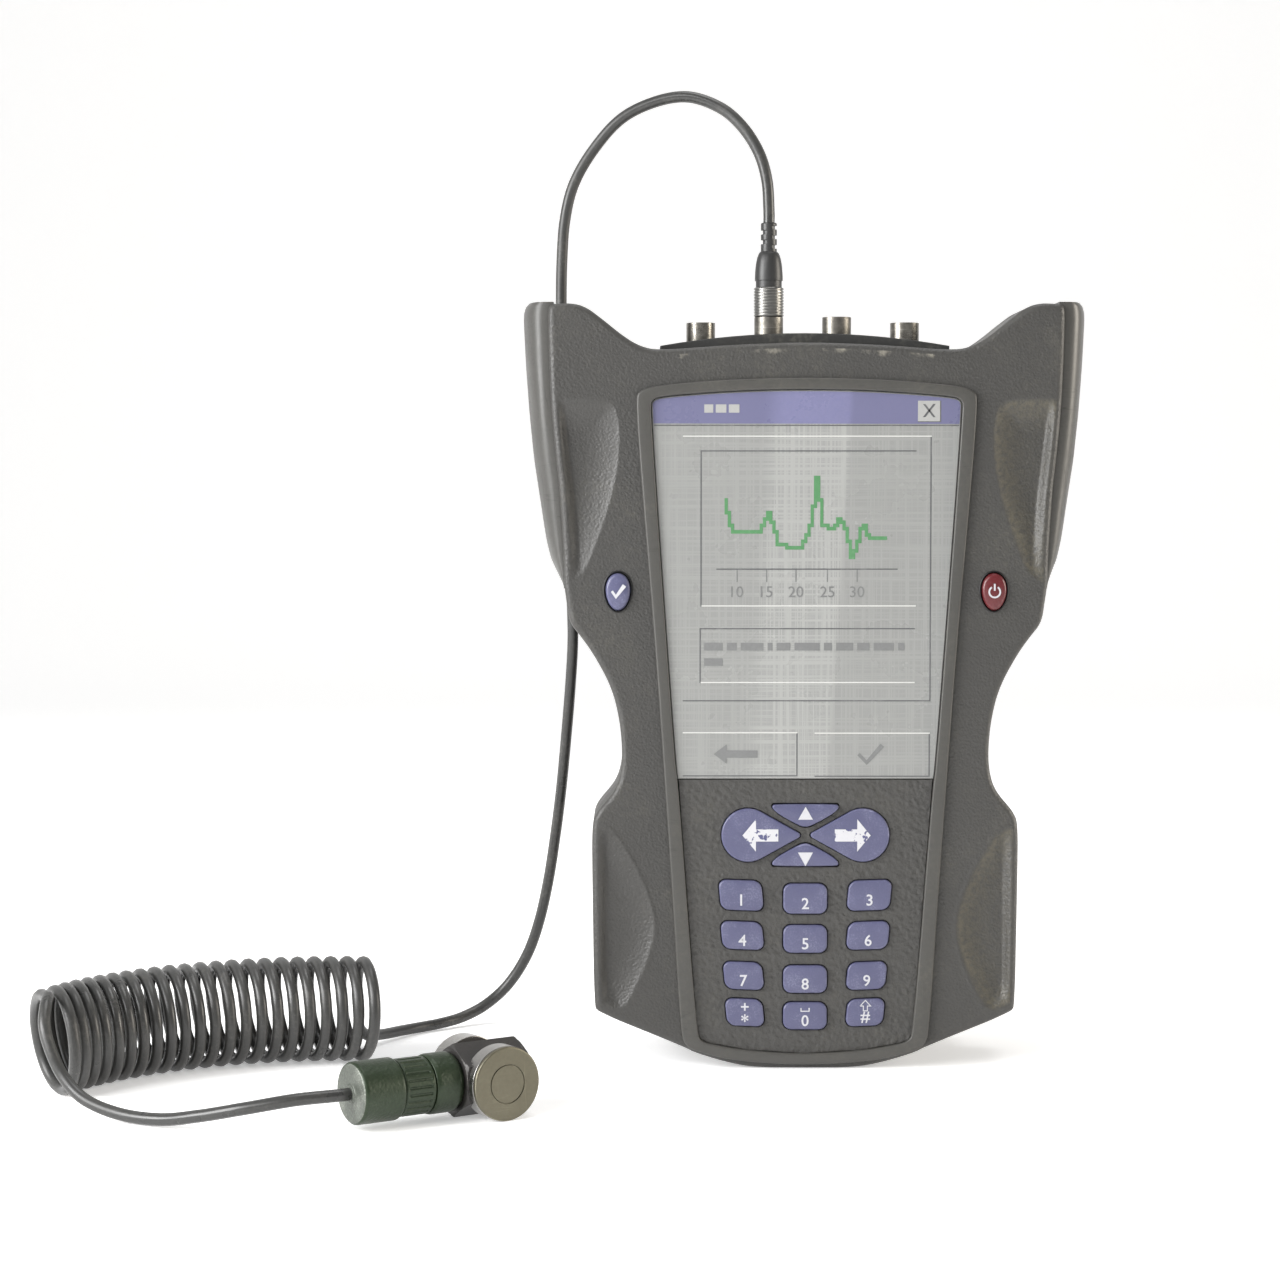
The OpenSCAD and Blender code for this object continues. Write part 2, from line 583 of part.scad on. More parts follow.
// The part of the fascia opening above or below the joint line, less the fitting gap
module fascia_part(y0, y1, lower) {
    intersection() {
        slab(drawn_in(opening_line, fit_gap / 2, opening_mid), y0, y1);
        block(0, lower ? split_z - mid_z : split_z + fit_gap + mid_z, case_w, 2 * mid_z, y0 - over,
            y1 + over);
    }
}
module screen_window() {
    color([0.72, 0.73, 0.72]) fascia_part(window_front, ledge_front, false);
}
module keypad_plate() {
    color([0.38, 0.38, 0.36]) difference() {
        fascia_part(keypad_y, keypad_y + plate_t, true);
        for (k = key_lines) slab(grown(k, fit_gap), keypad_y - over, keypad_y + plate_t + over);
    }
}
module lcd_panel() {
    color([0.2, 0.22, 0.24]) block(0, lcd_z_share * case_h, lcd_w, lcd_h, ledge_front,
        ledge_front + lcd_t);
}
module keypad_membrane() {
    color([0.15, 0.15, 0.2]) block(0, membrane_z_share * case_h, membrane_w, membrane_h,
        membrane_front, membrane_front + membrane_t);
}
module main_board() {
    chip_share = [[0, 0.78, 0.3, 0.05], [-0.25, 0.3, 0.2, 0.07], [0.25, 0.2, 0.25, 0.06]];
    chip_t = 1.5;
    color([0.1, 0.35, 0.2]) difference() {
        union() {
            slab(full(board_share), board_y, board_y + board_t);
            for (c = chip_share) block(c[0] * half_w, c[1] * case_h, c[2] * half_w, c[3] * case_h,
                board_y + board_t, board_y + board_t + chip_t);
        }
        for (b = board_places) rod(b[0], b[1], board_screw_d + screw_play, board_y - over,
            board_y + board_t + over);
    }
}
module board_screws() {
    head_y = board_y + board_t;
    color([0.75, 0.75, 0.75]) for (b = board_places) {
        rod(b[0], b[1], board_head_d, head_y, head_y + board_head_t);
        rod(b[0], b[1], board_screw_d - thread_bite, board_y - board_screw_len + tip_gap, head_y);
    }
}
module side_switches() {
    color([0.1, 0.1, 0.1]) for (s = [-1, 1]) {
        block(s * button_x, button_z, button_w, button_w, (board_y + button_back) / 2, board_y);
        rod(s * button_x, button_z, button_w / 2, button_back + key_travel + rest_gap, board_y);
    }
}
module battery_pack() {
    color([0.16, 0.3, 0.5]) block(0, cover_z, battery_w, battery_h, battery_y, hump_inner);
}
module battery_cover() {
    color([0.26, 0.26, 0.25]) difference() {
        block(0, cover_z, cover_w - 2 * fit_gap, cover_h - 2 * fit_gap, hump_inner,
            hump_inner + cover_t);
        for (s = [-1, 1]) {
            rod(0, cover_z + s * cover_screw_z, cover_screw_d + screw_play, hump_inner - over,
                hump_inner + cover_t + over);
            rod(0, cover_z + s * cover_screw_z, cover_head_d + screw_play, hump_inner + cover_t / 2,
                hump_inner + cover_t + over);
        }
    }
}
module battery_cover_screws() {
    color([0.7, 0.7, 0.7]) for (s = [-1, 1]) {
        rod(0, cover_z + s * cover_screw_z, cover_head_d, hump_inner + cover_t / 2,
            hump_inner + cover_t);
        rod(0, cover_z + s * cover_screw_z, cover_screw_d - thread_bite, hump_inner - cover_screw_len,
            hump_inner + cover_t / 2);
    }
}
module case_screws() {
    seat = ear_depth - case_head_seat;
    color([0.7, 0.7, 0.7]) for (b = boss_places) {
        rod(b[0], b[1], case_head_d, seat, seat + case_head_t);
        rod(b[0], b[1], case_screw_d - screw_play, -case_grip + tip_gap, seat);
    }
}

module connector_panel() {
    color([0.08, 0.08, 0.08]) difference() {
        slab(panel_line, panel_y0, panel_y1);
        for (x = socket_x) translate([x, socket_y, panel_under - over])
            cylinder(d = socket_d + 2 * thread_gap, h = case_h, $fn = 48);
    }
}
module socket(i) {
    color([0.6, 0.59, 0.56]) translate([socket_x[i], socket_y, socket_top(i) - socket_len])
        difference() {
            cylinder(d = socket_d, h = socket_len, $fn = 48);
            translate([0, 0, socket_floor]) cylinder(d = insert_bore, h = socket_len, $fn = 48);
            translate([0, 0, socket_len - socket_bore_depth]) cylinder(d = socket_bore,
                h = socket_len, $fn = 48);
        }
}
module socket_1() {
    socket(0);
}
module socket_2() {
    socket(1);
}
module socket_3() {
    socket(2);
}
module socket_4() {
    socket(3);
}
module socket_nuts() {
    color([0.65, 0.64, 0.6]) for (x = socket_x) translate([x, socket_y, panel_under - nut_t])
        difference() {
            cylinder(d = nut_d, h = nut_t, $fn = 6);
            translate([0, 0, -over]) cylinder(d = socket_d + 2 * thread_gap, h = nut_t + 2 * over,
                $fn = 48);
        }
}
module pin_ring(d, circle, count, z0, z1) {
    for (k = [0:count - 1]) rotate([0, 0, 360 * k / count + 45]) translate([circle / 2, 0, z0])
        cylinder(d = d, h = z1 - z0, $fn = 16);
}
module socket_inserts() {
    floor_z = socket_floor - socket_len;
    color([0.1, 0.1, 0.1]) for (i = [0:3]) translate([socket_x[i], socket_y, socket_top(i)])
        difference() {
            translate([0, 0, floor_z]) cylinder(d = insert_bore - 2 * thread_gap,
                h = -socket_bore_depth - floor_z, $fn = 48);
            pin_ring(pin_d + 2 * thread_gap, pin_circle, pin_count,
                -socket_bore_depth - pin_reach, -socket_bore_depth + over);
        }
}

module button_gaskets() {
    color([0.05, 0.05, 0.05]) for (s = [-1, 1]) difference() {
        slab(egg(s * button_x, button_z, gasket_w, gasket_h), face_y, inner_y);
        slab(egg(s * button_x, button_z, button_w + 2 * fit_gap, button_h + 2 * fit_gap),
            face_y - over, inner_y + over);
    }
}
module ok_button() {
    color([0.3, 0.3, 0.5]) slab(egg(-button_x, button_z, button_w, button_h), button_front,
        button_back);
}
module power_button() {
    color([0.45, 0.1, 0.12]) slab(egg(button_x, button_z, button_w, button_h), button_front,
        button_back);
}
module key(i) {
    color([0.32, 0.32, 0.52]) slab(key_lines[i], key_front, key_back);
}
module key_up() {
    key(0);
}
module key_down() {
    key(1);
}
module key_left() {
    key(2);
}
module key_right() {
    key(3);
}
module key_1() {
    key(4);
}
module key_2() {
    key(5);
}
module key_3() {
    key(6);
}
module key_4() {
    key(7);
}
module key_5() {
    key(8);
}
module key_6() {
    key(9);
}
module key_7() {
    key(10);
}
module key_8() {
    key(11);
}
module key_9() {
    key(12);
}
module key_star() {
    key(13);
}
module key_0() {
    key(14);
}
module key_hash() {
    key(15);
}

module plug_nose() {
    color([0.62, 0.62, 0.6]) translate([plug_x, socket_y, 0]) difference() {
        union() {
            translate([0, 0, nose_base]) cylinder(d = nose_d, h = shoulder_z - nose_base, $fn = 48);
            translate([0, 0, shoulder_z]) cylinder(d = spigot_d, h = spigot_len, $fn = 48);
        }
        translate([0, 0, nose_base - over]) cylinder(d = nose_bore,
            h = shoulder_z - nose_base - nose_wall + over, $fn = 48);
    }
}
module plug_pins() {
    foot = plug_top - socket_bore_depth + pin_foot;
    color([0.8, 0.65, 0.3]) translate([plug_x, socket_y, 0]) {
        translate([0, 0, foot]) cylinder(d = nose_bore - 2 * thread_gap, h = shoulder_z - nose_wall - foot,
            $fn = 48);
        pin_ring(pin_d, pin_circle, pin_count, plug_top - socket_bore_depth - pin_reach + pin_tip_gap,
            foot);
    }
}
module latch_sleeve() {
    groove_t = 0.15;
    groove_w = 0.35;
    color([0.4, 0.4, 0.4]) translate([plug_x, socket_y, sleeve_base]) difference() {
        cylinder(d = sleeve_d, h = sleeve_len, $fn = 48);
        translate([0, 0, -over]) cylinder(d = nose_d + 2 * sleeve_gap, h = sleeve_len, $fn = 48);
        translate([0, 0, sleeve_step]) cylinder(d = sleeve_wide_bore, h = sleeve_len, $fn = 48);
        for (k = [0:sleeve_rings - 1]) translate([0, 0, (k + 1) * sleeve_len / (sleeve_rings + 1)])
            difference() {
                cylinder(d = sleeve_d + over, h = groove_w, $fn = 48);
                cylinder(d = sleeve_d - 2 * groove_t, h = groove_w, $fn = 48);
            }
    }
}
module plug_boot() {
    shape = concat([[0, shoulder_z], [boot_skirt_d / 2, shoulder_z],
        [boot_skirt_d / 2, sleeve_end + sleeve_pull]],
        [for (k = [0:6]) [relief_d / 2 + (boot_d - relief_d) / 2 * cos(15 * k),
            sleeve_end + sleeve_pull + (boot_len - sleeve_pull) * sin(15 * k)]],
        [[relief_d / 2, relief_end], [0, relief_end]]);
    color([0.16, 0.16, 0.16]) translate([plug_x, socket_y, 0]) difference() {
        rotate_extrude($fn = 48) polygon(shape);
        translate([0, 0, shoulder_z - over]) cylinder(d = spigot_d, h = spigot_len + over, $fn = 48);
        for (k = [1:relief_slots]) for (s = [-1, 1])
            translate([s * (relief_d - relief_slot_cut), 0, boot_end
                + relief_len * (k + s / 4) / (relief_slots + 1)])
                cube([relief_d, relief_d, relief_slot_t], center = true);
    }
}
module cord_lead() {
    p = smoothed(lead_route);
    color([0.2, 0.2, 0.2]) tube(rings(p, carried(p, [0, 1, 0]), cord_d, cord_sides));
}
module cord_coil() {
    color([0.2, 0.2, 0.2]) tube(coil_rings);
}
module cord_tail() {
    p = smoothed(tail_route);
    color([0.2, 0.2, 0.2]) tube(rings(p, carried(p, [0, 0, 1]), cord_d, cord_sides));
}

// The accelerometer's own frame: X along its connector, Y along its sensing cylinder
module on_floor() {
    translate(sensor_place) rotate([0, 0, sensor_turn]) children();
}
module along_x(x) {
    translate([x, 0, 0]) rotate([0, 90, 0]) children();
}
module along_y(y) {
    translate([0, y, 0]) rotate([-90, 0, 0]) children();
}
module hex_body() {
    color([0.24, 0.23, 0.23]) on_floor() difference() {
        along_x(-hex_len / 2) cylinder(d = hex_d, h = hex_len, $fn = 6);
        along_y(-hex_d) cylinder(d = chamber_d, h = 2 * hex_d, $fn = 64);
        along_x(hex_len / 2 - stub_len) cylinder(d = stub_d, h = stub_len + over, $fn = 48);
    }
}
module near_cap() {
    color([0.7, 0.69, 0.67]) on_floor() {
        along_y(facet) cylinder(d = hex_d, h = cross_len / 2 - disc_t - seam_t - facet, $fn = 64);
        along_y(cross_len / 2 - disc_t - seam_t) cylinder(d = hex_d - 2 * seam_t, h = seam_t,
            $fn = 64);
        along_y(facet - cap_spigot) cylinder(d = chamber_d - cap_fit, h = cap_spigot, $fn = 64);
    }
}
module far_cap() {
    color([0.7, 0.69, 0.67]) on_floor() {
        along_y(-cross_len / 2) cylinder(d = hex_d, h = cross_len / 2 - facet, $fn = 64);
        along_y(-facet) cylinder(d = chamber_d - cap_fit, h = cap_spigot, $fn = 64);
    }
}
module end_disc() {
    r = hex_d / 2;
    shape = [[0, 0], [r, 0], [r, disc_t - rim_r], [r - rim_r / 4, disc_t - rim_r / 2],
        [r - rim_r, disc_t], [0, disc_t]];
    color([0.46, 0.44, 0.38]) on_floor() along_y(cross_len / 2 - disc_t) difference() {
        rotate_extrude($fn = 64) polygon(shape);
        translate([0, 0, disc_t - disc_groove_t]) difference() {
            cylinder(d = disc_groove_d + disc_groove_w, h = disc_t, $fn = 64);
            cylinder(d = disc_groove_d - disc_groove_w, h = disc_t, $fn = 64);
        }
    }
}
piezo_y = facet - cap_spigot - stack_gap - piezo_t;
mass_y = piezo_y - stack_gap - mass_t;
module washer(y, d, t) {
    on_floor() along_y(y) difference() {
        cylinder(d = d, h = t, $fn = 48);
        translate([0, 0, -over]) cylinder(d = bolt_d + cap_fit, h = t + 2 * over, $fn = 48);
    }
}
module sensing_element() {
    color([0.85, 0.8, 0.65]) washer(piezo_y, piezo_d, piezo_t);
}
module seismic_mass() {
    color([0.5, 0.5, 0.52]) washer(mass_y, mass_d, mass_t);
}
module clamp_bolt() {
    head_y = mass_y - stack_gap - bolt_head_t;
    color([0.6, 0.6, 0.62]) on_floor() {
        along_y(head_y) cylinder(d = bolt_head_d, h = bolt_head_t, $fn = 6);
        along_y(head_y + bolt_head_t) cylinder(d = bolt_d, h = facet - cap_spigot - head_y
            - bolt_head_t, $fn = 48);
    }
}
module connector_barrel() {
    x0 = hex_len / 2;
    r = barrel_d / 2;
    shape = [[0, -stub_len], [stub_d / 2, -stub_len], [stub_d / 2, 0], [r - flare, 0],
        [r - flare, flare], [r, 3 * flare], [r, barrel_len], [core_d / 2, barrel_len],
        [core_d / 2, core_join - x0], [0, core_join - x0]];
    color([0.24, 0.29, 0.22]) on_floor() along_x(x0) difference() {
        rotate_extrude($fn = 64) polygon(shape);
        translate([0, 0, core_join - x0 - insert_len]) cylinder(d = core_bore, h = hex_len, $fn = 48);
    }
}
module connector_insert() {
    color([0.7, 0.6, 0.4]) on_floor() along_x(core_join - insert_len) {
        cylinder(d = core_bore - cap_fit, h = insert_len - over, $fn = 48);
        pin_ring(contact_d, contact_circle, contact_count, insert_len - 2 * over, 2 * insert_len);
    }
}
module coupling_ring() {
    len_x = coupling_len - 2 * side_gap;
    r = coupling_d / 2;
    color([0.22, 0.27, 0.2]) on_floor() along_x(barrel_end + side_gap) difference() {
        cylinder(d = coupling_d, h = len_x, $fn = 64);
        translate([0, 0, -over]) cylinder(d = core_d + 2 * run_gap, h = len_x + 2 * over, $fn = 64);
        for (k = [0:coupling_ribs - 1]) rotate([0, 0, 360 * k / coupling_ribs])
            translate([r - rib_t, -rib_w / 2, rib_end]) cube([rib_t + over, rib_w,
                len_x - 2 * rib_end]);
    }
}
module connector_backshell() {
    r = backshell_d / 2;
    x1 = coupling_len / 2;
    shape = [[0, 0], [core_d / 2, 0], [core_d / 2, x1], [r - flare, x1], [r, x1 + flare],
        [r, x1 + backshell_len], [0, x1 + backshell_len]];
    color([0.24, 0.29, 0.22]) on_floor() along_x(core_join) difference() {
        rotate_extrude($fn = 64) polygon(shape);
        translate([0, 0, -over]) cylinder(d = core_bore, h = insert_len + 2 * over, $fn = 48);
    }
}

front_case();
back_case();
left_bumper();
right_bumper();
bezel_frame();
screen_window();
keypad_plate();
lcd_panel();
keypad_membrane();
main_board();
board_screws();
side_switches();
battery_pack();
battery_cover();
battery_cover_screws();
case_screws();
connector_panel();
socket_1();
socket_2();
socket_3();
socket_4();
socket_nuts();
socket_inserts();
button_gaskets();
ok_button();
power_button();
key_up();
key_down();
key_left();
key_right();
key_1();
key_2();
key_3();
key_4();
key_5();
key_6();
key_7();
key_8();
key_9();
key_star();
key_0();
key_hash();
plug_nose();
plug_pins();
latch_sleeve();
plug_boot();
cord_lead();
cord_coil();
cord_tail();
hex_body();
near_cap();
far_cap();
end_disc();
sensing_element();
seismic_mass();
clamp_bolt();
connector_barrel();
connector_insert();
coupling_ring();
connector_backshell();
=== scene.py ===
"""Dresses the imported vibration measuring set: handset, lead with its curls, and accelerometer."""

import bpy
import numpy as np
from mathutils import Matrix


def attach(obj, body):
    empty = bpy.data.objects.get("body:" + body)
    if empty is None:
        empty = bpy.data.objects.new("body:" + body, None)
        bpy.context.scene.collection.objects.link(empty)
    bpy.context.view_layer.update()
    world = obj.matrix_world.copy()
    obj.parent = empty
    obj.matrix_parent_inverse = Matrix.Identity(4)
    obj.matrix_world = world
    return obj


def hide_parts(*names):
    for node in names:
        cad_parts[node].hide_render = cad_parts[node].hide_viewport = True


bl_info = {
    "name": "Vibration measuring set",
    "version": (1, 0, 0),
    "blender": (4, 5, 0),
    "location": "3D View > Sidebar > Measuring set",
    "description": "Builds the handset, its lead and its accelerometer on the packed frame",
    "category": "Object",
}

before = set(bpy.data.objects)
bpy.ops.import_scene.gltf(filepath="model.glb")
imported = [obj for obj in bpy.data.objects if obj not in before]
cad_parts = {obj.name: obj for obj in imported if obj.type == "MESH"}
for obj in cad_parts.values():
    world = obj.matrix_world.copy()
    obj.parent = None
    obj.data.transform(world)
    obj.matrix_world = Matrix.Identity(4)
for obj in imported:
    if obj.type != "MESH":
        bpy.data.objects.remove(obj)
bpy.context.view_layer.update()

# Main sizes of the part's source, in millimetres
MM = 0.001
HALF_W, CASE_H = 69.75, 189.0
MID_Z = CASE_H / 2
FACE_Y, EAR_Y, HUMP_Y = -22.0, 8.0, 22.0
WALL = 2.4
FACE_EDGE_R, EAR_EDGE_R, HUMP_EDGE_R = 1.4, 2.2, 5.0
SEAM = 0.4
BEZEL_Y, LEDGE_Y, WINDOW_Y = -23.4, -20.6, -22.4
KEY_Y, KEY_BACK = -23.1, -20.7
SPLIT_Z = 71.7
SOCKET_X, SOCKET_Y = (-25.5, -8.5, 8.5, 25.5), -4.0
SOCKET_TOP = (184.544, 185.958, 185.958, 184.544)
SENSOR_PLACE, SENSOR_TURN = (-76.5, -74.0, 8.5), np.radians(214.0)
BUMPER_MID_Y, BUMPER_HALF_Y = -6.9, 13.4
BUTTON_X, BUTTON_Z = 46.1, 117.9
ARROW_Z = 0.3069 * CASE_H
TURN = 2 * np.pi
SHARP = 38

# The studio
CAMERA_PLACE, CAMERA_DIP, CAMERA_LENS = (-0.0407, -0.734, 0.142), 2.89, 81.7
LAMP_AIM = (-0.02, 0, 0.09)
LAMPS = [("front lamp", (-1.1, -1.9, 1.3), 0.8, 13.0, (1, 1, 1)),
         ("left lamp", (-0.8, -0.42, 0.38), 0.5, 11.5, (1, 1, 1)),
         ("right lamp", (1.2, -0.1, 0.35), 0.6, 11.0, (1, 0.93, 0.82)),
         ("top lamp", (0.1, 0.1, 1.6), 0.8, 7.0, (1, 1, 1))]
SKY_LEVEL, FLOOR_GLOW = 0.3, 0.37
SWEEP_HALF, SWEEP_FRONT, SWEEP_BACK, SWEEP_ROUND, SWEEP_TOP = 4.0, -3.0, 1.2, 1.0, 4.0

# Outlines, right half, as shares of half the case's width and of its height
CASE_SHARE = [[0, 0], [0.172, 0], [0.268, 0.006], [0.394, 0.02], [0.422, 0.0265], [0.734, 0.073],
    [0.746, 0.082], [0.752, 0.238], [0.754, 0.318], [0.739, 0.336], [0.671, 0.3635], [0.65, 0.389],
    [0.646, 0.419], [0.657, 0.46], [0.685, 0.5], [0.745, 0.541], [0.793, 0.566], [0.832, 0.583],
    [0.842, 0.61], [0.851, 0.632], [0.852, 0.645], [0.8525, 0.665], [0.856, 0.692], [0.868, 0.761],
    [0.879, 0.794], [0.895, 0.857], [0.902, 0.918], [0.906, 0.976], [0.904, 0.994], [0.885, 0.9965],
    [0.79, 0.997], [0.713, 0.976], [0.651, 0.957], [0.588, 0.942], [0.519, 0.936], [0.26, 0.9435],
    [0, 0.947]]
BEZEL_SHARE = [[0, 0.005], [0.25, 0.0105], [0.395, 0.0245], [0.425, 0.032], [0.44, 0.05],
    [0.471, 0.238], [0.526, 0.535], [0.561, 0.688], [0.601, 0.872], [0.585, 0.885], [0.5, 0.892],
    [0.25, 0.899], [0, 0.901]]
OPENING_SHARE = [[0, 0.0196], [0.2, 0.024], [0.33, 0.0325], [0.366, 0.037], [0.383, 0.046],
    [0.449, 0.3772], [0.459, 0.39], [0.5485, 0.862], [0.542, 0.8715], [0.515, 0.8765],
    [0.25, 0.884], [0, 0.886]]
UPPER_SCALLOP = [[0.717, 0.8722], [0.676, 0.865], [0.661, 0.846], [0.657, 0.825],
    [0.6645, 0.781], [0.697, 0.731], [0.747, 0.68], [0.783, 0.646], [0.816, 0.621], [0.835, 0.64],
    [0.838, 0.7], [0.856, 0.77], [0.875, 0.84], [0.878, 0.8722]]
LOWER_SCALLOP = [[0.735, 0.318], [0.695, 0.316], [0.641, 0.2875], [0.581, 0.247],
    [0.542, 0.206], [0.536, 0.178], [0.564, 0.1375], [0.65, 0.071], [0.72, 0.086], [0.735, 0.1]]
# Each hollow's outline, the share past which it is let out, its depth and its slope's width
SCALLOPS = [(UPPER_SCALLOP, 0.8, 1.9, 9.0), (LOWER_SCALLOP, 0.73, 1.6, 7.5)]
HUMP_SHARE = [[0, 0], [0.42, 0], [0.44, 0.008], [0.62, 0.075], [0.63, 0.1], [0.61, 0.3],
    [0.585, 0.42], [0.61, 0.55], [0.63, 0.7], [0.63, 0.86], [0.59, 0.9], [0.5, 0.91], [0, 0.91]]
# Flank between the case face and the bumper: share of height, face share, bumper share
FLANK_SHARE = [[0.628, 0.851, 0.852], [0.632, 0.851, 0.856], [0.645, 0.852, 0.875],
    [0.665, 0.8525, 0.902], [0.692, 0.856, 0.92], [0.761, 0.868, 0.948], [0.794, 0.879, 0.962],
    [0.857, 0.895, 0.979], [0.918, 0.902, 0.991], [0.976, 0.906, 0.9985],
    [0.987, 0.905, 0.9975], [0.995, 0.905, 0.991], [0.999, 0.904, 0.98]]
# Number keys: shares of width and height, rows from the top
PAD_W, PAD_MIDDLE_W, PAD_STEP = (0.152, 0.147, 0.1385, 0.1325), 0.155, 0.2265
PAD_H, PAD_Z = (0.0395, 0.0365, 0.0362, 0.0357), (0.2282, 0.1754, 0.1226, 0.0744)
COVER_CENTRE, COVER_HALF = (0.0, 58.6), (30.0, 42.0)
SCREW_PLACES = [(0.774, 0.91), (0.695, 0.566), (0.652, 0.11)]

# The lead's route in millimetres, as the CAD source has it
LEAD_ROUTE = [[-8.5, -4, 209.458], [-8.5, -4, 212.358], [-9, -3.7, 220], [-11, -3, 227],
    [-15, -1.8, 233.5], [-20.5, 0, 238.5], [-28.5, 2, 241.5], [-37, 4, 240.5], [-45.5, 6, 236.5],
    [-52.5, 8, 229], [-57.5, 9.2, 220.5], [-59.8, 10, 211.5], [-60.6, 10.3, 201],
    [-60.8, 10.3, 190], [-60.8, 10.3, 178], [-60.6, 10.4, 164], [-60, 10.8, 150],
    [-59.3, 11.4, 136], [-58.5, 12.4, 121], [-58, 14, 106], [-58.6, 16.5, 94], [-59.8, 20, 80],
    [-61.3, 24, 65], [-63, 28, 52], [-65, 32, 39.5], [-67.6, 35.5, 28], [-71, 38.5, 18.5],
    [-76, 40, 10.5], [-82, 38.5, 5.2], [-88, 34.5, 2.6], [-93.5, 29.5, 1.8], [-98.5, 25, 1.6],
    [-103, 19, 1.8], [-107, 12, 2.2], [-110.3, 5, 3.2], [-112.2, 1.2, 5.6]]
TAIL_ROUTE = [[-178, -67.9, 23.7], [-177.6, -71.7, 19.9], [-175.9, -73.8, 14.9],
    [-172.6, -75.6, 8.8], [-167, -79, 4.2], [-158, -84, 1.9], [-148, -89.5, 1.9],
    [-138.5, -94.5, 3.8], [-128, -98.5, 6.3], [-117, -98.5, 8.2]]
CURL_R, CURLS, CURLY_LEN = 11.7, 22, 84.8
CURL_START, BEND, FACING, LEAN = (-109.3, -12.0), (-5.0, 67.0), (21.0, 29.0), (0.3, 2.0)
LOOSE_STEP = 0.5


# Outlines
def mirrored(share):
    """Right half outline of shares made a whole closed outline in millimetres."""
    half = np.array(share, float) * (HALF_W, CASE_H)
    left = half[::-1][half[::-1, 0] > 0] * (-1, 1)
    return np.concatenate([half, left])


def softened(line, rounds=4):
    """Corner cutting: each side keeps its points at 1/4 and 3/4, several times over."""
    for _ in range(rounds):
        nxt = np.roll(line, -1, 0)
        line = np.stack([0.75 * line + 0.25 * nxt, 0.25 * line + 0.75 * nxt], 1).reshape(-1, 2)
    return line


def eased(line, reach, rounds=4):
    """An outline rounded only near its corners: each corner p gives way to two points at the
    reach from it along its sides, and then to corner cutting."""
    ways = [np.roll(line, k, 0) - line for k in (1, -1)]
    lengths = [np.linalg.norm(v, axis=1)[:, None] for v in ways]
    ends = [line + v / n * np.minimum(reach, 0.3 * n) for v, n in zip(ways, lengths)]
    return softened(np.stack(ends, 1).reshape(-1, 2), rounds)


def evenly(line, count):
    """A closed line's points at equal distances along it."""
    ring = np.concatenate([line, line[:1]])
    run = np.concatenate([[0], np.cumsum(np.linalg.norm(np.diff(ring, axis=0), axis=1))])
    at = np.linspace(0, run[-1], count, endpoint=False)
    return np.stack([np.interp(at, run, ring[:, k]) for k in (0, 1)], 1)


def offset(line, inward):
    """A closed line moved inward along its own normals by a distance."""
    way = np.roll(line, -1, 0) - np.roll(line, 1, 0)
    normal = np.stack([-way[:, 1], way[:, 0]], 1) / np.linalg.norm(way, axis=1)[:, None]
    x, z = line.T
    area = (x * np.roll(z, -1) - z * np.roll(x, -1)).sum()
    return line + normal * inward * np.sign(area)


def bearing(line, centre):
    """The angle of each point about a centre."""
    return np.arctan2(line[:, 1] - centre[1], line[:, 0] - centre[0])


def at_bearings(line, centre, angles):
    """Where rays from a centre at the given angles meet a closed line around it."""
    dense = evenly(line, 4000)
    around = bearing(dense, centre)
    return np.stack([np.interp(angles, around, dense[:, k], period=TURN) for k in (0, 1)], 1)


def inside_depth(points, line):
    """Signed distance of points to a closed line: positive inside, as the least distance to its
    sides p + t (q - p), with t held from 0 to 1; the sign comes from the crossing count."""
    p, q = line, np.roll(line, -1, 0)
    side = q - p
    best = np.full(len(points), np.inf)
    odd = np.zeros(len(points), bool)
    for a, d in zip(p, side):
        rel = points - a
        t = np.clip(rel @ d / max(d @ d, 1e-12), 0, 1)
        best = np.minimum(best, ((rel - t[:, None] * d) ** 2).sum(1))
        crosses = (rel[:, 1] >= 0) != (rel[:, 1] >= d[1])
        at = rel[:, 1] / d[1] if abs(d[1]) > 1e-12 else np.zeros(len(points))
        odd ^= crosses & (rel[:, 0] < at * d[0])
    return np.sqrt(best) * np.where(odd, 1, -1)


def smoothstep(x, low, high):
    """t^2 (3 - 2 t), with t the way from low to high, held from 0 to 1."""
    t = np.clip((x - low) / (high - low), 0, 1)
    return t * t * (3 - 2 * t)


def egg(cx, cz, w, h, count=60):
    """An egg outline: an ellipse whose width grows by a tenth of the sine towards its top."""
    a = np.linspace(0, TURN, count, endpoint=False)
    return np.stack([cx + w / 2 * np.cos(a) * (1 + 0.1 * np.sin(a)), cz + h / 2 * np.sin(a)], 1)


def grown(line, d):
    """The outline scaled about its own middle until it reaches d further each way."""
    low, high = line.min(0), line.max(0)
    middle, reach = (low + high) / 2, (high - low) / 2
    return middle + (line - middle) * (reach + d) / reach


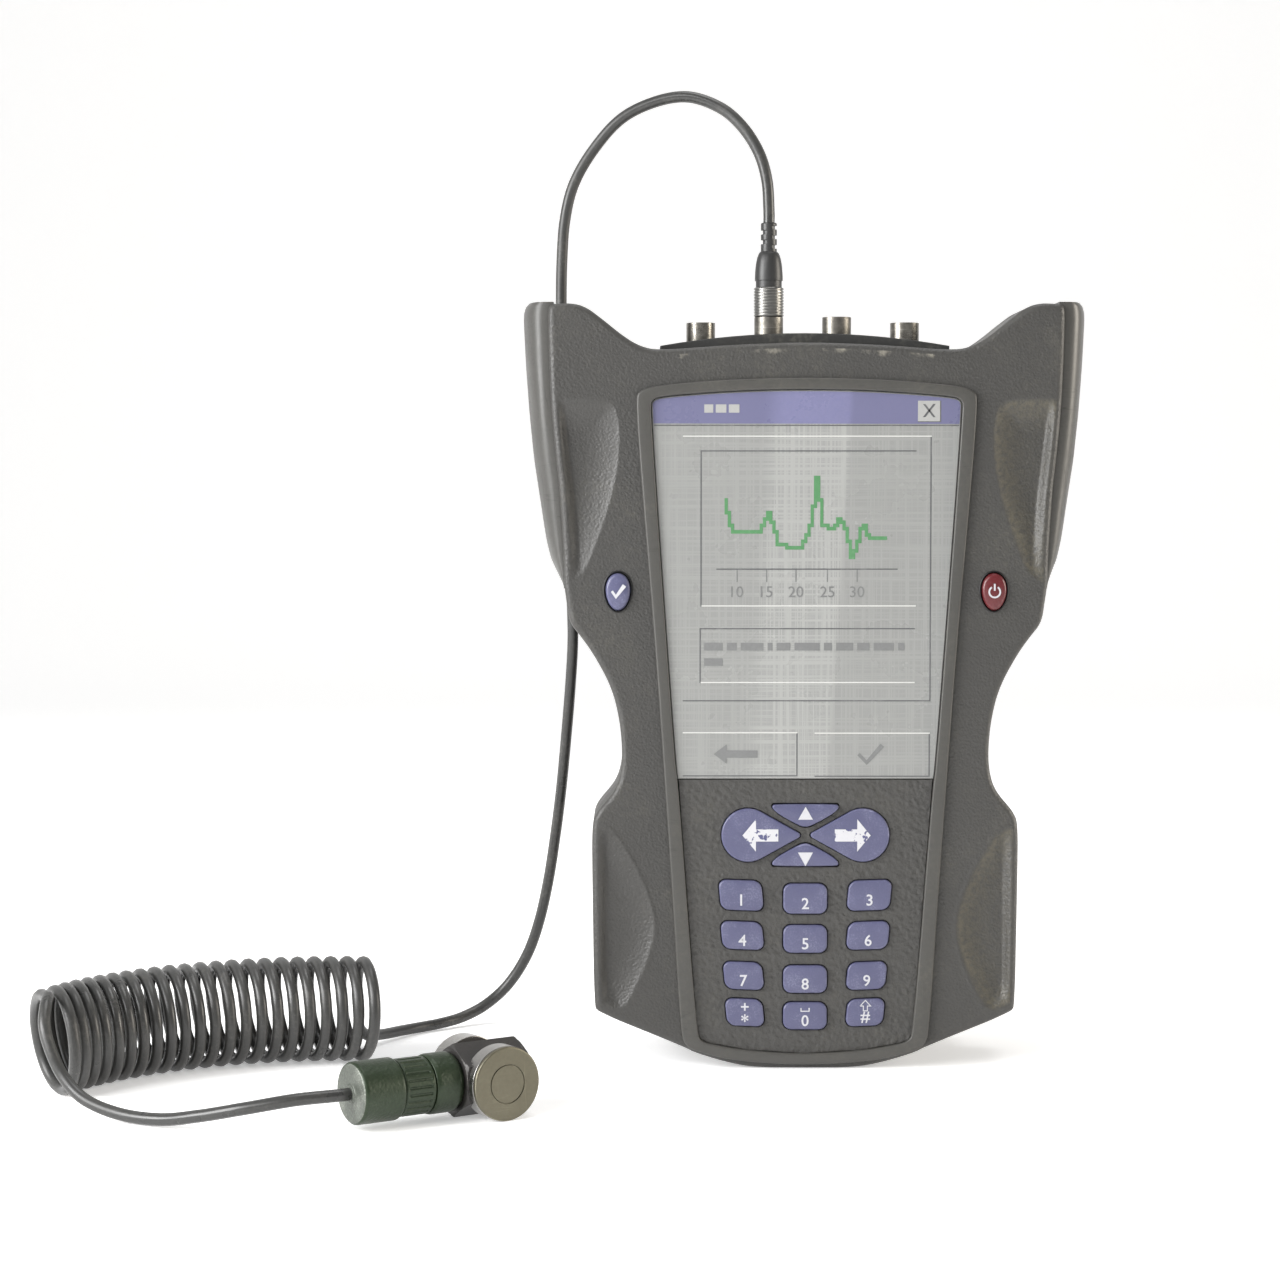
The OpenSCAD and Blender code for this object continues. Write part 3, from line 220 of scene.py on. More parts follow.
def rounded(corners, radii, steps=4):
    """An open profile whose inner corners are rounded by the curve (1-t)^2 a + 2t(1-t) c + t^2 b
    between points a and b at the radius from the corner c. The last column marks worn edges."""
    corners = np.array(corners, float)
    rows = [[*corners[0], 0.0]]
    for k in range(1, len(corners) - 1):
        c, before, after = corners[k], corners[k - 1], corners[k + 1]
        r = radii[k - 1] if np.ndim(radii) else radii
        lengths = [np.linalg.norm(before - c), np.linalg.norm(after - c)]
        ways = [(before - c) / lengths[0], (after - c) / lengths[1]]
        reach = min(r, 0.48 * lengths[0], 0.48 * lengths[1])
        t = np.linspace(0, 1, steps + 1)[:, None]
        curve = ((1 - t) ** 2 * (c + reach * ways[0]) + 2 * t * (1 - t) * c
                 + t ** 2 * (c + reach * ways[1]))
        mark = np.sin(np.pi * t) * 0.5 + 0.5
        if 1.2 * reach < 0.5 * lengths[0]:
            rows.append([*(c + 1.2 * reach * ways[0]), 0.0])
        rows.extend(np.hstack([curve, mark]).tolist())
        if 1.2 * reach < 0.5 * lengths[1]:
            rows.append([*(c + 1.2 * reach * ways[1]), 0.0])
    rows.append([*corners[-1], 0.0])
    return np.array(rows)


# Meshes
class Shape:
    """Points in millimetres, faces as index arrays, and a share of edge wear for each point."""

    def __init__(self, points, faces, edge=None):
        self.points = np.asarray(points, float).reshape(-1, 3)
        self.faces = [np.asarray(f, int) for f in faces if len(f)]
        self.edge = np.zeros(len(self.points)) if edge is None else np.asarray(edge, float).ravel()
        self.marks = [np.zeros(len(f), int) for f in self.faces]

    def moved(self, matrix):
        """Each point p becomes M p, with M a 4 by 4 matrix."""
        m = np.array(matrix, float)
        self.points = self.points @ m[:3, :3].T + m[:3, 3]
        return self

    def painted(self, index):
        """Gives every face one material index."""
        self.marks = [np.full(len(f), index) for f in self.faces]
        return self


def grid(rows, wrap=False, edge=None, poles=True, flip=None):
    """Rows of points joined by quads, each row a closed ring. With wrap the last row joins the
    first; otherwise a point in the middle of each end row closes it. Faces are turned outward by
    the sign of the volume, the sum of p0 . (p1 x p2) / 6 over its triangles."""
    rows = np.asarray(rows, float)
    m, n = rows.shape[:2]
    i, k = np.arange(m if wrap else m - 1)[:, None], np.arange(n)[None, :]
    quads = np.stack([i * n + k, i * n + (k + 1) % n, (i + 1) % m * n + (k + 1) % n,
                      (i + 1) % m * n + k], -1).reshape(-1, 4)
    points, faces = rows.reshape(-1, 3), [quads]
    wear = np.zeros((m, n)) if edge is None else np.broadcast_to(np.reshape(edge, (m, -1)), (m, n))
    wear = wear.ravel()
    if poles and not wrap:
        k = np.arange(n)
        points = np.concatenate([points, rows[[0, -1]].mean(1)])
        wear = np.concatenate([wear, [0, 0]])
        faces.append(np.stack([(k + 1) % n, k, np.full(n, m * n)], 1))
        faces.append(np.stack([(m - 1) * n + k, (m - 1) * n + (k + 1) % n,
                               np.full(n, m * n + 1)], 1))
    a, b, c, d = points[quads.T]
    volume = (a * np.cross(b, c)).sum() + (a * np.cross(c, d)).sum()
    for f in faces[1:]:
        a, b, c = points[f.T]
        volume += (a * np.cross(b, c)).sum()
    if (volume < 0) if flip is None else flip:
        faces = [f[:, ::-1] for f in faces]
    return Shape(points, faces, wear)


def lathe(profile, sides=64, radial=None):
    """Turns rows of (radius, height, wear) about Z: (r cos a, r sin a, h). radial(r, a, h) may
    change the radius over the surface."""
    p = np.asarray(profile, float)
    a = np.linspace(0, TURN, sides, endpoint=False)[None, :]
    r, h = np.maximum(p[:, :1], 1e-4) + 0 * a, p[:, 1:2] + 0 * a
    if radial is not None:
        r = radial(r, a, h)
    rows = np.stack([r * np.cos(a), r * np.sin(a), h], -1)
    return grid(rows, edge=p[:, 2] if p.shape[1] > 2 else None)


def rings(levels):
    """Closed lines in X and Z at their own depths Y, as rows of points."""
    return np.stack([np.stack([line[:, 0], np.broadcast_to(y, len(line)), line[:, 1]], 1)
                     for line, y in levels])


def joined(*shapes):
    """Several shapes as one, each keeping its material index."""
    base = np.cumsum([0] + [len(s.points) for s in shapes])
    made = Shape(np.concatenate([s.points for s in shapes]),
                 [f + o for s, o in zip(shapes, base) for f in s.faces],
                 np.concatenate([s.edge for s in shapes]))
    made.marks = [m for s in shapes for m in s.marks]
    return made


def prisms(rects, y0, y1):
    """Upright boxes over rectangles (x0, z0, x1, z1), from depth y0 back to y1."""
    x0, z0, x1, z1 = np.array(rects, float).reshape(-1, 4).T
    corner = [(x0, y0, z0), (x1, y0, z0), (x1, y0, z1), (x0, y0, z1),
              (x0, y1, z0), (x1, y1, z0), (x1, y1, z1), (x0, y1, z1)]
    points = np.stack([np.stack(np.broadcast_arrays(*c), -1) for c in corner], 1)
    faces = np.array([[0, 1, 2, 3], [5, 4, 7, 6], [4, 0, 3, 7], [1, 5, 6, 2], [3, 2, 6, 7],
                      [4, 5, 1, 0]])
    return Shape(points, [(faces[None] + 8 * np.arange(len(x0))[:, None, None]).reshape(-1, 4)])


def piece(name, shape, materials, body, stands_for=(), sharp=SHARP, extra=None):
    """Makes the shape an object at the origin, riding on a body of the frame."""
    mesh = bpy.data.meshes.new(name)
    mesh.from_pydata((shape.points * MM).tolist(), [], [f for s in shape.faces for f in s.tolist()])
    for key, values in {"edge": shape.edge, **(extra or {})}.items():
        mesh.attributes.new(key, "FLOAT", "POINT").data.foreach_set(
            "value", np.asarray(values, np.float32))
    mesh.polygons.foreach_set("use_smooth", np.ones(len(mesh.polygons), bool))
    mesh.polygons.foreach_set("material_index", np.concatenate(shape.marks).astype(np.int32))
    mesh.set_sharp_from_angle(angle=np.radians(sharp))
    for m in materials if isinstance(materials, (list, tuple)) else [materials]:
        mesh.materials.append(bpy.data.materials[m])
    mesh.update()
    made = bpy.data.objects.new(name, mesh)
    bpy.context.scene.collection.objects.link(made)
    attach(made, body)
    if stands_for:
        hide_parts(*stands_for)
    return made


def cut_out(target, shape):
    """Takes a closed shape away from a piece for good."""
    mesh = bpy.data.meshes.new("cutter")
    mesh.from_pydata((shape.points * MM).tolist(), [], [f for s in shape.faces for f in s.tolist()])
    cutter = bpy.data.objects.new("cutter", mesh)
    bpy.context.scene.collection.objects.link(cutter)
    cut = target.modifiers.new("cut", "BOOLEAN")
    cut.operation, cut.solver, cut.object = "DIFFERENCE", "EXACT", cutter
    shown = target.evaluated_get(bpy.context.evaluated_depsgraph_get())
    old, made = target.data, bpy.data.meshes.new_from_object(shown)
    target.modifiers.remove(cut)
    target.data = made
    made.name = old.name
    bpy.data.meshes.remove(old)
    bpy.data.objects.remove(cutter)
    made.set_sharp_from_angle(angle=np.radians(SHARP))


def flat_mesh(data, depth):
    """A flat curve or text, thickened by depth, as a shape in the XY plane."""
    data.extrude = depth / 2
    made = bpy.data.objects.new("flat", data)
    bpy.context.scene.collection.objects.link(made)
    shown = made.evaluated_get(bpy.context.evaluated_depsgraph_get())
    mesh = shown.to_mesh()
    points = np.zeros(len(mesh.vertices) * 3, np.float32)
    mesh.vertices.foreach_get("co", points)
    by_size = {}
    for p in mesh.polygons:
        by_size.setdefault(len(p.vertices), []).append(list(p.vertices))
    shape = Shape(points.reshape(-1, 3), list(by_size.values()))
    shown.to_mesh_clear()
    bpy.data.objects.remove(made)
    bpy.data.curves.remove(data)
    return shape


def glyph(text, height, bold=0.012):
    """Digits or a sign about their own middle, scaled to a height in millimetres."""
    data = bpy.data.curves.new("glyph", "FONT")
    data.body, data.offset, data.resolution_u = text, bold, 3
    shape = flat_mesh(data, 0.01)
    low, high = shape.points.min(0), shape.points.max(0)
    grow = height / (high - low)[1]
    shape.points = (shape.points - (low + high) / 2) * grow
    shape.points[:, 2] *= 0.04 / (0.01 * grow)
    return shape


def mark(*loops):
    """A flat sign between closed loops of (x, y); a loop inside another is a hole in it."""
    data = bpy.data.curves.new("mark", "CURVE")
    data.dimensions, data.fill_mode = "2D", "BOTH"
    for loop in loops:
        spline = data.splines.new("POLY")
        spline.points.add(len(loop) - 1)
        spline.points.foreach_set(
            "co", np.hstack([np.array(loop, float), np.tile([0, 1], (len(loop), 1))]).ravel())
        spline.use_cyclic_u = True
    return flat_mesh(data, 0.04)


def upright(shape, x, y, z):
    """Stands a flat shape up so that it faces -Y: (a, b, c) goes to (x + a, y - c, z + b)."""
    return shape.moved([[1, 0, 0, x], [0, 0, -1, y], [0, 1, 0, z], [0, 0, 0, 1]])


# Finishes
def node_group(name, inputs, outputs):
    """A new shader group, with the sockets that its nodes read from and write to."""
    made = bpy.data.node_groups.new(name, "ShaderNodeTree")
    for label, kind, value in inputs:
        socket = made.interface.new_socket(label, in_out="INPUT", socket_type=kind)
        if value is not None:
            socket.default_value = value
    for label, kind in outputs:
        made.interface.new_socket(label, in_out="OUTPUT", socket_type=kind)
    return made, made.nodes.new("NodeGroupInput").outputs, made.nodes.new("NodeGroupOutput").inputs


class Wires:
    """Short calls that add nodes to one tree and wire them."""

    def __init__(self, tree):
        self.tree = tree

    def node(self, kind, links=None, **settings):
        """Adds a node; links names its inputs, each with a socket or a plain value."""
        made = self.tree.nodes.new("ShaderNode" + kind)
        for key, value in settings.items():
            setattr(made, key, value)
        for key, value in (links or {}).items():
            if isinstance(value, bpy.types.NodeSocket):
                self.tree.links.new(value, made.inputs[key])
            else:
                made.inputs[key].default_value = value
        return made

    def math(self, operation, a, b=0.5, clamp=False):
        """One step of arithmetic on two sockets or plain values."""
        return self.node("Math", {0: a, 1: b}, operation=operation, use_clamp=clamp).outputs[0]

    def add(self, a, b):
        return self.math("ADD", a, b)

    def sub(self, a, b):
        return self.math("SUBTRACT", a, b)

    def mul(self, a, b, clamp=False):
        return self.math("MULTIPLY", a, b, clamp)

    def ramp(self, value, low, high):
        """t^2 (3 - 2 t), with t the value's way from low to high."""
        return self.node("MapRange", {"Value": value, "From Min": low, "From Max": high},
                         interpolation_type="SMOOTHSTEP").outputs[0]

    def noise(self, vector, scale, detail=3.0, rough=0.55):
        """Fractal noise from 0 to 1."""
        return self.node("TexNoise", {"Vector": vector, "Scale": scale, "Detail": detail,
                                      "Roughness": rough}).outputs[0]

    def stretched(self, vector, scale, turn=(0, 0, 0)):
        """The vector scaled along its axes and turned."""
        return self.node("Mapping", {"Vector": vector, "Scale": scale, "Rotation": turn}).outputs[0]

    def mix(self, factor, a, b):
        """The colour (1 - factor) a + factor b."""
        made = self.node("Mix", data_type="RGBA")
        for socket, value in ((made.inputs[0], factor), (made.inputs[6], a), (made.inputs[7], b)):
            if isinstance(value, bpy.types.NodeSocket):
                self.tree.links.new(value, socket)
            else:
                socket.default_value = value
        return made.outputs[2]


VALUE, VECTOR = "NodeSocketFloat", "NodeSocketVector"
# The window's painted reflection, a lighter slanted strip with darker sides: how it leans, and
# where its sides fade in and out, in metres
REFLECTION_LEAN, REFLECTION_LEFT, REFLECTION_RIGHT = 0.061, (-0.021, -0.015), (0.0, 0.002)


def build_groups():
    """Node groups that the finishes share."""
    tree, into, out = node_group(
        "Moulded grain", [("Vector", VECTOR, None), ("Scale", VALUE, 900.0)],
        [("Height", VALUE), ("Tone", VALUE)])
    w = Wires(tree)
    cells = w.node("TexVoronoi", {"Vector": into["Vector"], "Scale": into["Scale"]},
                   feature="SMOOTH_F1").outputs["Distance"]
    fine = w.noise(into["Vector"], into["Scale"], 4)
    tree.links.new(w.add(w.mul(cells, 0.6), w.mul(fine, 0.7)), out["Height"])
    tree.links.new(w.ramp(w.sub(fine, w.mul(cells, 0.3)), 0.1, 0.6), out["Tone"])

    tree, into, out = node_group("Edge wear", [("Vector", VECTOR, None), ("Edge", VALUE, 0.0),
                                               ("Scale", VALUE, 150.0), ("Amount", VALUE, 0.5)],
                                 [("Mask", VALUE)])
    w = Wires(tree)
    rough = w.noise(into["Vector"], into["Scale"], 6, 0.65)
    level = w.add(w.mul(into["Edge"], into["Amount"]), w.mul(rough, into["Edge"]))
    tree.links.new(w.ramp(level, 0.85, 1.1), out["Mask"])

    tree, into, out = node_group("Dust and rub", [("Vector", VECTOR, None), ("Scale", VALUE, 60.0),
                                                  ("Amount", VALUE, 0.3)], [("Mask", VALUE)])
    w = Wires(tree)
    broad = w.noise(into["Vector"], into["Scale"], 5, 0.6)
    specks = w.noise(into["Vector"], w.mul(into["Scale"], 14.0), 2)
    both = w.mul(w.ramp(broad, 0.38, 0.75), w.ramp(specks, 0.42, 0.72))
    film = w.mul(w.ramp(broad, 0.45, 0.85), 0.35)
    tree.links.new(w.mul(w.add(both, film), into["Amount"]), out["Mask"])

    tree, into, out = node_group("Scratches", [("Vector", VECTOR, None), ("Scale", VALUE, 1.0),
                                               ("Amount", VALUE, 0.3)], [("Mask", VALUE)])
    w = Wires(tree)
    total = None
    for scale, turn in (((22, 22, 260), (0.3, 0.5, 0.1)), ((260, 22, 22), (0.2, 0.9, 0.4)),
                        ((30, 30, 340), (0.1, -0.7, 0.3))):
        lines = w.noise(w.stretched(into["Vector"], scale, turn), into["Scale"], 2)
        near = w.math("ABSOLUTE", w.sub(lines, 0.5))
        thin = w.sub(1.0, w.ramp(near, 0.0, 0.012))
        gaps = w.ramp(w.noise(w.stretched(into["Vector"], (70, 70, 70), turn), 1.0), 0.52, 0.66)
        thin = w.mul(thin, gaps)
        total = thin if total is None else w.math("MAXIMUM", total, thin)
    tree.links.new(w.mul(total, into["Amount"], True), out["Mask"])


def rgb(code):
    """A colour written as six hex digits, made linear: ((c + 0.055) / 1.055) ^ 2.4."""
    c = np.array([int(code[k:k + 2], 16) for k in (0, 2, 4)]) / 255
    return (*np.where(c <= 0.04045, c / 12.92, ((c + 0.055) / 1.055) ** 2.4), 1.0)


def finish(name, colour, rough=0.55, metallic=0.0, grain=900.0, depth=0.02, tone=0.25, dark=0.75,
           wear=None, wear_amount=0.55, dust=None, dust_amount=0.3, dust_scale=60.0, scratch=0.0,
           scratch_colour=None, coat=0.0, specular=0.5, dirt=None, rough_spread=0.12,
           weave=0.0, band=0.0, chips=None):
    """One material: a colour that varies with the grain, then scratches, dust, dust with a painted
    warm sheen, chips, threads, a painted reflection band and rubbed edges over it, and a bump whose
    depth is in millimetres."""
    made = bpy.data.materials.new(name)
    made.use_nodes = True
    tree = made.node_tree
    w = Wires(tree)
    shader = tree.nodes["Principled BSDF"]
    place = w.node("TexCoord").outputs["Object"]
    colour = colour if not isinstance(colour, str) else rgb(colour)

    def group(label, **values):
        used = w.node("Group", node_tree=bpy.data.node_groups[label])
        tree.links.new(place, used.inputs["Vector"])
        for key, value in values.items():
            if isinstance(value, bpy.types.NodeSocket):
                tree.links.new(value, used.inputs[key])
            else:
                used.inputs[key].default_value = value
        return used.outputs

    skin = group("Moulded grain", Scale=grain)
    shade = tuple(c * dark for c in colour[:3]) + (1.0,)
    broad = w.ramp(w.noise(place, 45.0, 4), 0.35, 0.7)
    paint = w.mix(w.mul(broad, tone), colour, shade)
    paint = w.mix(w.mul(skin["Tone"], tone), paint, shade)
    gloss = w.add(w.mul(broad, rough_spread), rough - rough_spread / 2)
    if scratch:
        lines = group("Scratches", Amount=scratch)["Mask"]
        paint = w.mix(lines, paint, rgb(scratch_colour or "9a9a94"))
        gloss = w.add(gloss, w.mul(lines, 0.2))
    if dust:
        powder = group("Dust and rub", Scale=dust_scale, Amount=dust_amount)["Mask"]
        paint = w.mix(powder, paint, rgb(dust))
        gloss = w.add(gloss, w.mul(powder, 0.25))
    # Dust with a painted warm sheen, where the case's grip hollows mark it
    if dirt:
        sheen_spots = w.node("Attribute", attribute_name="dirt").outputs["Fac"]
        sheen_spots = w.mul(sheen_spots, w.ramp(w.noise(place, 900.0, 5), 0.2, 0.7))
        paint = w.mix(sheen_spots, paint, rgb(dirt))
    if chips:
        paint = w.mix(w.ramp(w.noise(place, 650.0, 4), 0.57, 0.6), paint, rgb(chips))
    if weave:
        threads = [w.ramp(w.noise(w.stretched(place, scale), 1.0, 2), 0.45, 0.62)
                   for scale in ((25, 25, 2400), (2400, 25, 25))]
        paint = w.mix(w.mul(w.math("MAXIMUM", *threads), weave), paint, rgb("e4e4e0"))
    # Painted reflection: the colour is darkened outside a lighter slanted strip
    if band:
        part = w.node("SeparateXYZ", {0: place}).outputs
        across = w.sub(part[0], w.mul(part[2], REFLECTION_LEAN))
        reflection_strip = w.mul(w.ramp(across, *REFLECTION_LEFT), w.sub(1.0, w.ramp(across, *REFLECTION_RIGHT)))
        paint = w.mix(w.mul(w.sub(1.0, reflection_strip), band), paint, shade)
    if wear:
        edge = w.node("Attribute", attribute_name="edge").outputs["Fac"]
        bare = group("Edge wear", Edge=edge, Amount=wear_amount)["Mask"]
        paint = w.mix(bare, paint, rgb(wear))
    tree.links.new(paint, shader.inputs["Base Color"])
    tree.links.new(w.math("MINIMUM", gloss, 1.0), shader.inputs["Roughness"])
    shader.inputs["Metallic"].default_value = metallic
    shader.inputs["Coat Weight"].default_value = coat
    shader.inputs["Specular IOR Level"].default_value = specular
    bump = w.node("Bump", {"Height": skin["Height"], "Strength": 1.0, "Distance": depth * MM})
    tree.links.new(bump.outputs[0], shader.inputs["Normal"])
    return made


# Values that several finishes share
MOULDED = dict(tone=0.3, wear="8b877c", wear_amount=0.25, dust="807c6e", dust_amount=0.14)
PRINTED = dict(rough=0.45, grain=2500, depth=0.004, dark=0.8)
KEY_SKIN = dict(grain=2500, depth=0.008, dust_scale=170.0)
SHOWN = dict(rough=0.35, grain=1800, depth=0.001, coat=0.2)

FINISHES = {
    # Case front: the beige marks in its right-hand grip hollows are dust with a painted warm sheen
    "case front": dict(MOULDED, colour="444341", rough=0.46, grain=1650, depth=0.17, dark=0.72,
                       wear="8f8b80", wear_amount=0.3, dust_amount=0.12, dirt="9a8f6c"),
    "case back": dict(MOULDED, colour="41403e", rough=0.48, grain=1650, depth=0.17, dark=0.75),
    "side bumper": dict(MOULDED, colour="4f4e4b", rough=0.4, grain=900, depth=0.02, dark=0.7,
                        wear="8d8a82", scratch=0.6, scratch_colour="2c2b29", dust="2e2d2b",
                        dust_amount=0.3, dust_scale=110.0),
    # Fascia frame: the light wear on its outer front edge is partly a painted highlight
    "fascia frame": dict(colour="4c4b48", rough=0.42, grain=1300, depth=0.03, wear="a9a69c",
                         wear_amount=0.18, dust="7d796c", dust_amount=0.12, scratch=0.25,
                         scratch_colour="2b2a28"),
    "keypad plate": dict(colour="464543", rough=0.44, grain=820, depth=0.42, dust="7d796c",
                         dust_amount=0.1),
    "blue key": dict(KEY_SKIN, colour="5a5b7b", rough=0.36, tone=0.35, dark=0.72, wear="a3a3c0",
                     wear_amount=0.5, dust="9394ad", dust_amount=0.4, coat=0.15),
    "red key": dict(KEY_SKIN, colour="641c22", rough=0.34, tone=0.4, dark=0.6, wear="a5787a",
                    wear_amount=0.4, dust="8d5f5e", coat=0.2),
    "white print": dict(PRINTED, colour="d0d0d5"),
    "worn print": dict(PRINTED, colour="d4d4d8", tone=0.15, chips="55567c"),
    "gasket rubber": dict(colour="121212", rough=0.5, grain=1800, dust="4d4b45",
                          dust_amount=0.15),
    "panel plastic": dict(colour="333332", rough=0.5, grain=1400, depth=0.05, dust="65635b",
                          dust_amount=0.5, wear="6a6860", wear_amount=0.4),
    "worn nickel": dict(colour="a29e96", rough=0.34, metallic=1.0, depth=0.012, tone=0.6,
                        dark=0.3, scratch=0.4, scratch_colour="d0cdc4", dust="38352f",
                        dust_amount=0.5, dust_scale=260.0, rough_spread=0.2),
    "plug steel": dict(colour="aeaca7", rough=0.26, metallic=1.0, grain=1200, depth=0.008,
                       tone=0.5, dark=0.4, scratch=0.4, scratch_colour="dddbd5",
                       rough_spread=0.2),
    "sleeve grey": dict(colour="8e8d8a", rough=0.34, metallic=0.9, grain=1400, depth=0.004,
                        tone=0.2, dark=0.6, wear="c4c2bc", wear_amount=0.45, rough_spread=0.2),
    "boot rubber": dict(colour="303030", rough=0.42, grain=1500, dust="5c5a55",
                        dust_amount=0.2),
    "cord skin": dict(colour="3e3e3d", rough=0.34, grain=1100, depth=0.012, tone=0.4, dark=0.7,
                      dust="75736d", dust_amount=0.25, dust_scale=90.0, rough_spread=0.2),
    "olive shell": dict(colour="2a3824", rough=0.42, metallic=0.3, grain=1500, depth=0.09,
                        tone=0.5, dark=0.55, wear="868d7c", wear_amount=0.3, dust="4c5546",
                        dust_scale=160.0),
    "olive face": dict(colour="6e736b", rough=0.45, metallic=0.4, grain=1900, depth=0.1,
                       tone=0.7, dark=0.5, dust="a9aca3", dust_amount=0.8, dust_scale=260.0),
    "dark body metal": dict(colour="3b3938", rough=0.46, metallic=0.3, grain=1600, depth=0.03,
                            tone=0.35, dark=0.65, wear="8a8782", wear_amount=0.4,
                            dust="77736a", dust_amount=0.12),
    "satin silver": dict(colour="b0aeab", rough=0.3, metallic=1.0, grain=1300, depth=0.01,
                         tone=0.3, dark=0.65, scratch=0.25, scratch_colour="dedcd6",
                         rough_spread=0.15),
    "end disc": dict(colour="6b6758", rough=0.38, metallic=0.7, grain=1300, depth=0.014,
                     tone=0.35, dark=0.7, wear="a8a490", wear_amount=0.45, scratch=0.2,
                     scratch_colour="8d8974"),
    "inner steel": dict(colour="9b9a98", rough=0.35, metallic=1.0, scratch=0.2),
    "circuit board": dict(colour="1c5233", rough=0.45, grain=700, coat=0.3),
    "contact gold": dict(colour="c9a356", rough=0.3, metallic=1.0),
    "ceramic": dict(colour="d8cfb2", rough=0.5),
    "battery wrap": dict(colour="2b4c7a", rough=0.4, grain=700),
    # The screen's band is a painted reflection: a lighter slanted strip with darker sides
    "screen ground": dict(SHOWN, colour="989997", rough=0.3, tone=0.12, dark=0.84,
                          dust="929392", dust_scale=45.0, weave=0.15, band=0.55),
    # The title bar's band is the same painted reflection
    "screen bar": dict(SHOWN, colour="7f7fa2", rough=0.3, dark=0.7, dust="6f6f99",
                       dust_amount=0.4, band=0.8),
    "screen dark": dict(SHOWN, colour="5e5f61", dust="8b8c8c", dust_amount=0.4),
    "screen grey": dict(SHOWN, colour="7d7e7e", dust="9a9b9a"),
    "screen white": dict(SHOWN, colour="d6d6d3", tone=0.1),
    "screen button": dict(SHOWN, colour="b0b0ae", tone=0.2),
    "screen green": dict(SHOWN, colour="568c5e", tone=0.15, dust="8fb094"),
}

# The frame's nodes by finish; nodes that aren't named here are blue keys
CAD_FINISH = {
    "case front": "front_case",
    "case back": "back_case battery_cover",
    "side bumper": "left_bumper right_bumper",
    "fascia frame": "bezel_frame",
    "keypad plate": "keypad_plate",
    "screen ground": "screen_window",
    "screen dark": "lcd_panel",
    "red key": "power_button",
    "gasket rubber": "keypad_membrane side_switches socket_inserts button_gaskets",
    "circuit board": "main_board",
    "battery wrap": "battery_pack",
    "inner steel": "board_screws battery_cover_screws case_screws seismic_mass clamp_bolt",
    "panel plastic": "connector_panel",
    "worn nickel": "socket_nuts socket_1 socket_2 socket_3 socket_4",
    "plug steel": "plug_nose",
    "contact gold": "plug_pins connector_insert",
    "sleeve grey": "latch_sleeve",
    "boot rubber": "plug_boot",
    "cord skin": "cord_lead cord_coil cord_tail",
    "dark body metal": "hex_body",
    "satin silver": "near_cap far_cap",
    "end disc": "end_disc",
    "ceramic": "sensing_element",
    "olive shell": "connector_barrel coupling_ring connector_backshell",
}


# The lead's line
def curl_axis(s):
    """The curls' bending axis at a distance s along it: its heading turns evenly."""
    rate = np.radians(BEND[1] - BEND[0]) / CURLY_LEN
    a0 = np.radians(BEND[0])
    a = a0 + rate * s
    return np.stack([CURL_START[0] - (np.sin(a) - np.sin(a0)) / rate,
                     CURL_START[1] + (np.cos(a) - np.cos(a0)) / rate], -1)


def curl_line(t, cord_d):
    """Curls: axis point plus R (sin a sin f, -sin a cos f, cos a), with a = 2 pi t, the slant f
    and a lean along the axis that change evenly with the turn number t."""
    a, f = TURN * t, np.radians(FACING[0] + (FACING[1] - FACING[0]) * t / CURLS)
    lean = LEAN[0] + (LEAN[1] - LEAN[0]) * t / CURLS
    pitch = CURLY_LEN / (CURLS - 1)
    s = pitch * (t + LOOSE_STEP * np.maximum(0, t - CURLS + 1) ** 2) + lean * np.cos(a)
    centre = np.concatenate([curl_axis(s), np.full((len(t), 1), CURL_R + cord_d / 2)], 1)
    return centre + CURL_R * np.stack([np.sin(a) * np.sin(f), -np.sin(a) * np.cos(f), np.cos(a)], 1)


def through(points, step=1.0):
    """A smooth line through the points: cubic pieces whose slopes are (next - last) / 2, each
    h00 p + h10 m + h01 q + h11 n, sampled about every step. The end points only guide it."""
    p = np.asarray(points, float)
    slope = (p[2:] - p[:-2]) / 2
    out = []
    for a, b, m, n in zip(p[1:-2], p[2:-1], slope[:-1], slope[1:]):
        t = np.linspace(0, 1, max(2, int(np.linalg.norm(b - a) / step) + 1), endpoint=False)
        t = t[:, None]
        out.append((2 * t ** 3 - 3 * t ** 2 + 1) * a + (t ** 3 - 2 * t ** 2 + t) * m
                   + (3 * t ** 2 - 2 * t ** 3) * b + (t ** 3 - t ** 2) * n)
    return np.concatenate(out + [p[-2:-1]])


def cord_line(cord_d):
    """The whole lead: free stretch, curls and tail as one line, in millimetres."""
    t = np.linspace(-0.25, CURLS, int((CURLS + 0.25) * 44) + 1)
    curls = curl_line(t, cord_d)
    first = curls[0] - (curls[1] - curls[0]) / np.linalg.norm(curls[1] - curls[0]) * cord_d
    last_way = (curls[-1] - curls[-2]) / np.linalg.norm(curls[-1] - curls[-2])
    first_way = (curls[0] - first) / cord_d
    end = sensor_point(35.0)
    axis = np.array([np.cos(SENSOR_TURN), np.sin(SENSOR_TURN), 0])
    lead = through([[-8.5, -4, 205.0], *LEAD_ROUTE, first - first_way * cord_d / 2, first,
                    curls[0]])
    tail = through([curls[-2], curls[-1] + last_way * cord_d, curls[-1] + last_way * 1.5 * cord_d,
                    *TAIL_ROUTE, end + cord_d * axis, end, end - cord_d * axis])
    return np.concatenate([lead, curls, tail])


def sensor_point(x, y=0.0, z=0.0):
    """A point of the accelerometer's own frame, X along its connector, in the row frame."""
    c, s = np.cos(SENSOR_TURN), np.sin(SENSOR_TURN)
    return np.array([SENSOR_PLACE[0] + c * x - s * y, SENSOR_PLACE[1] + s * x + c * y,
                     SENSOR_PLACE[2] + z])


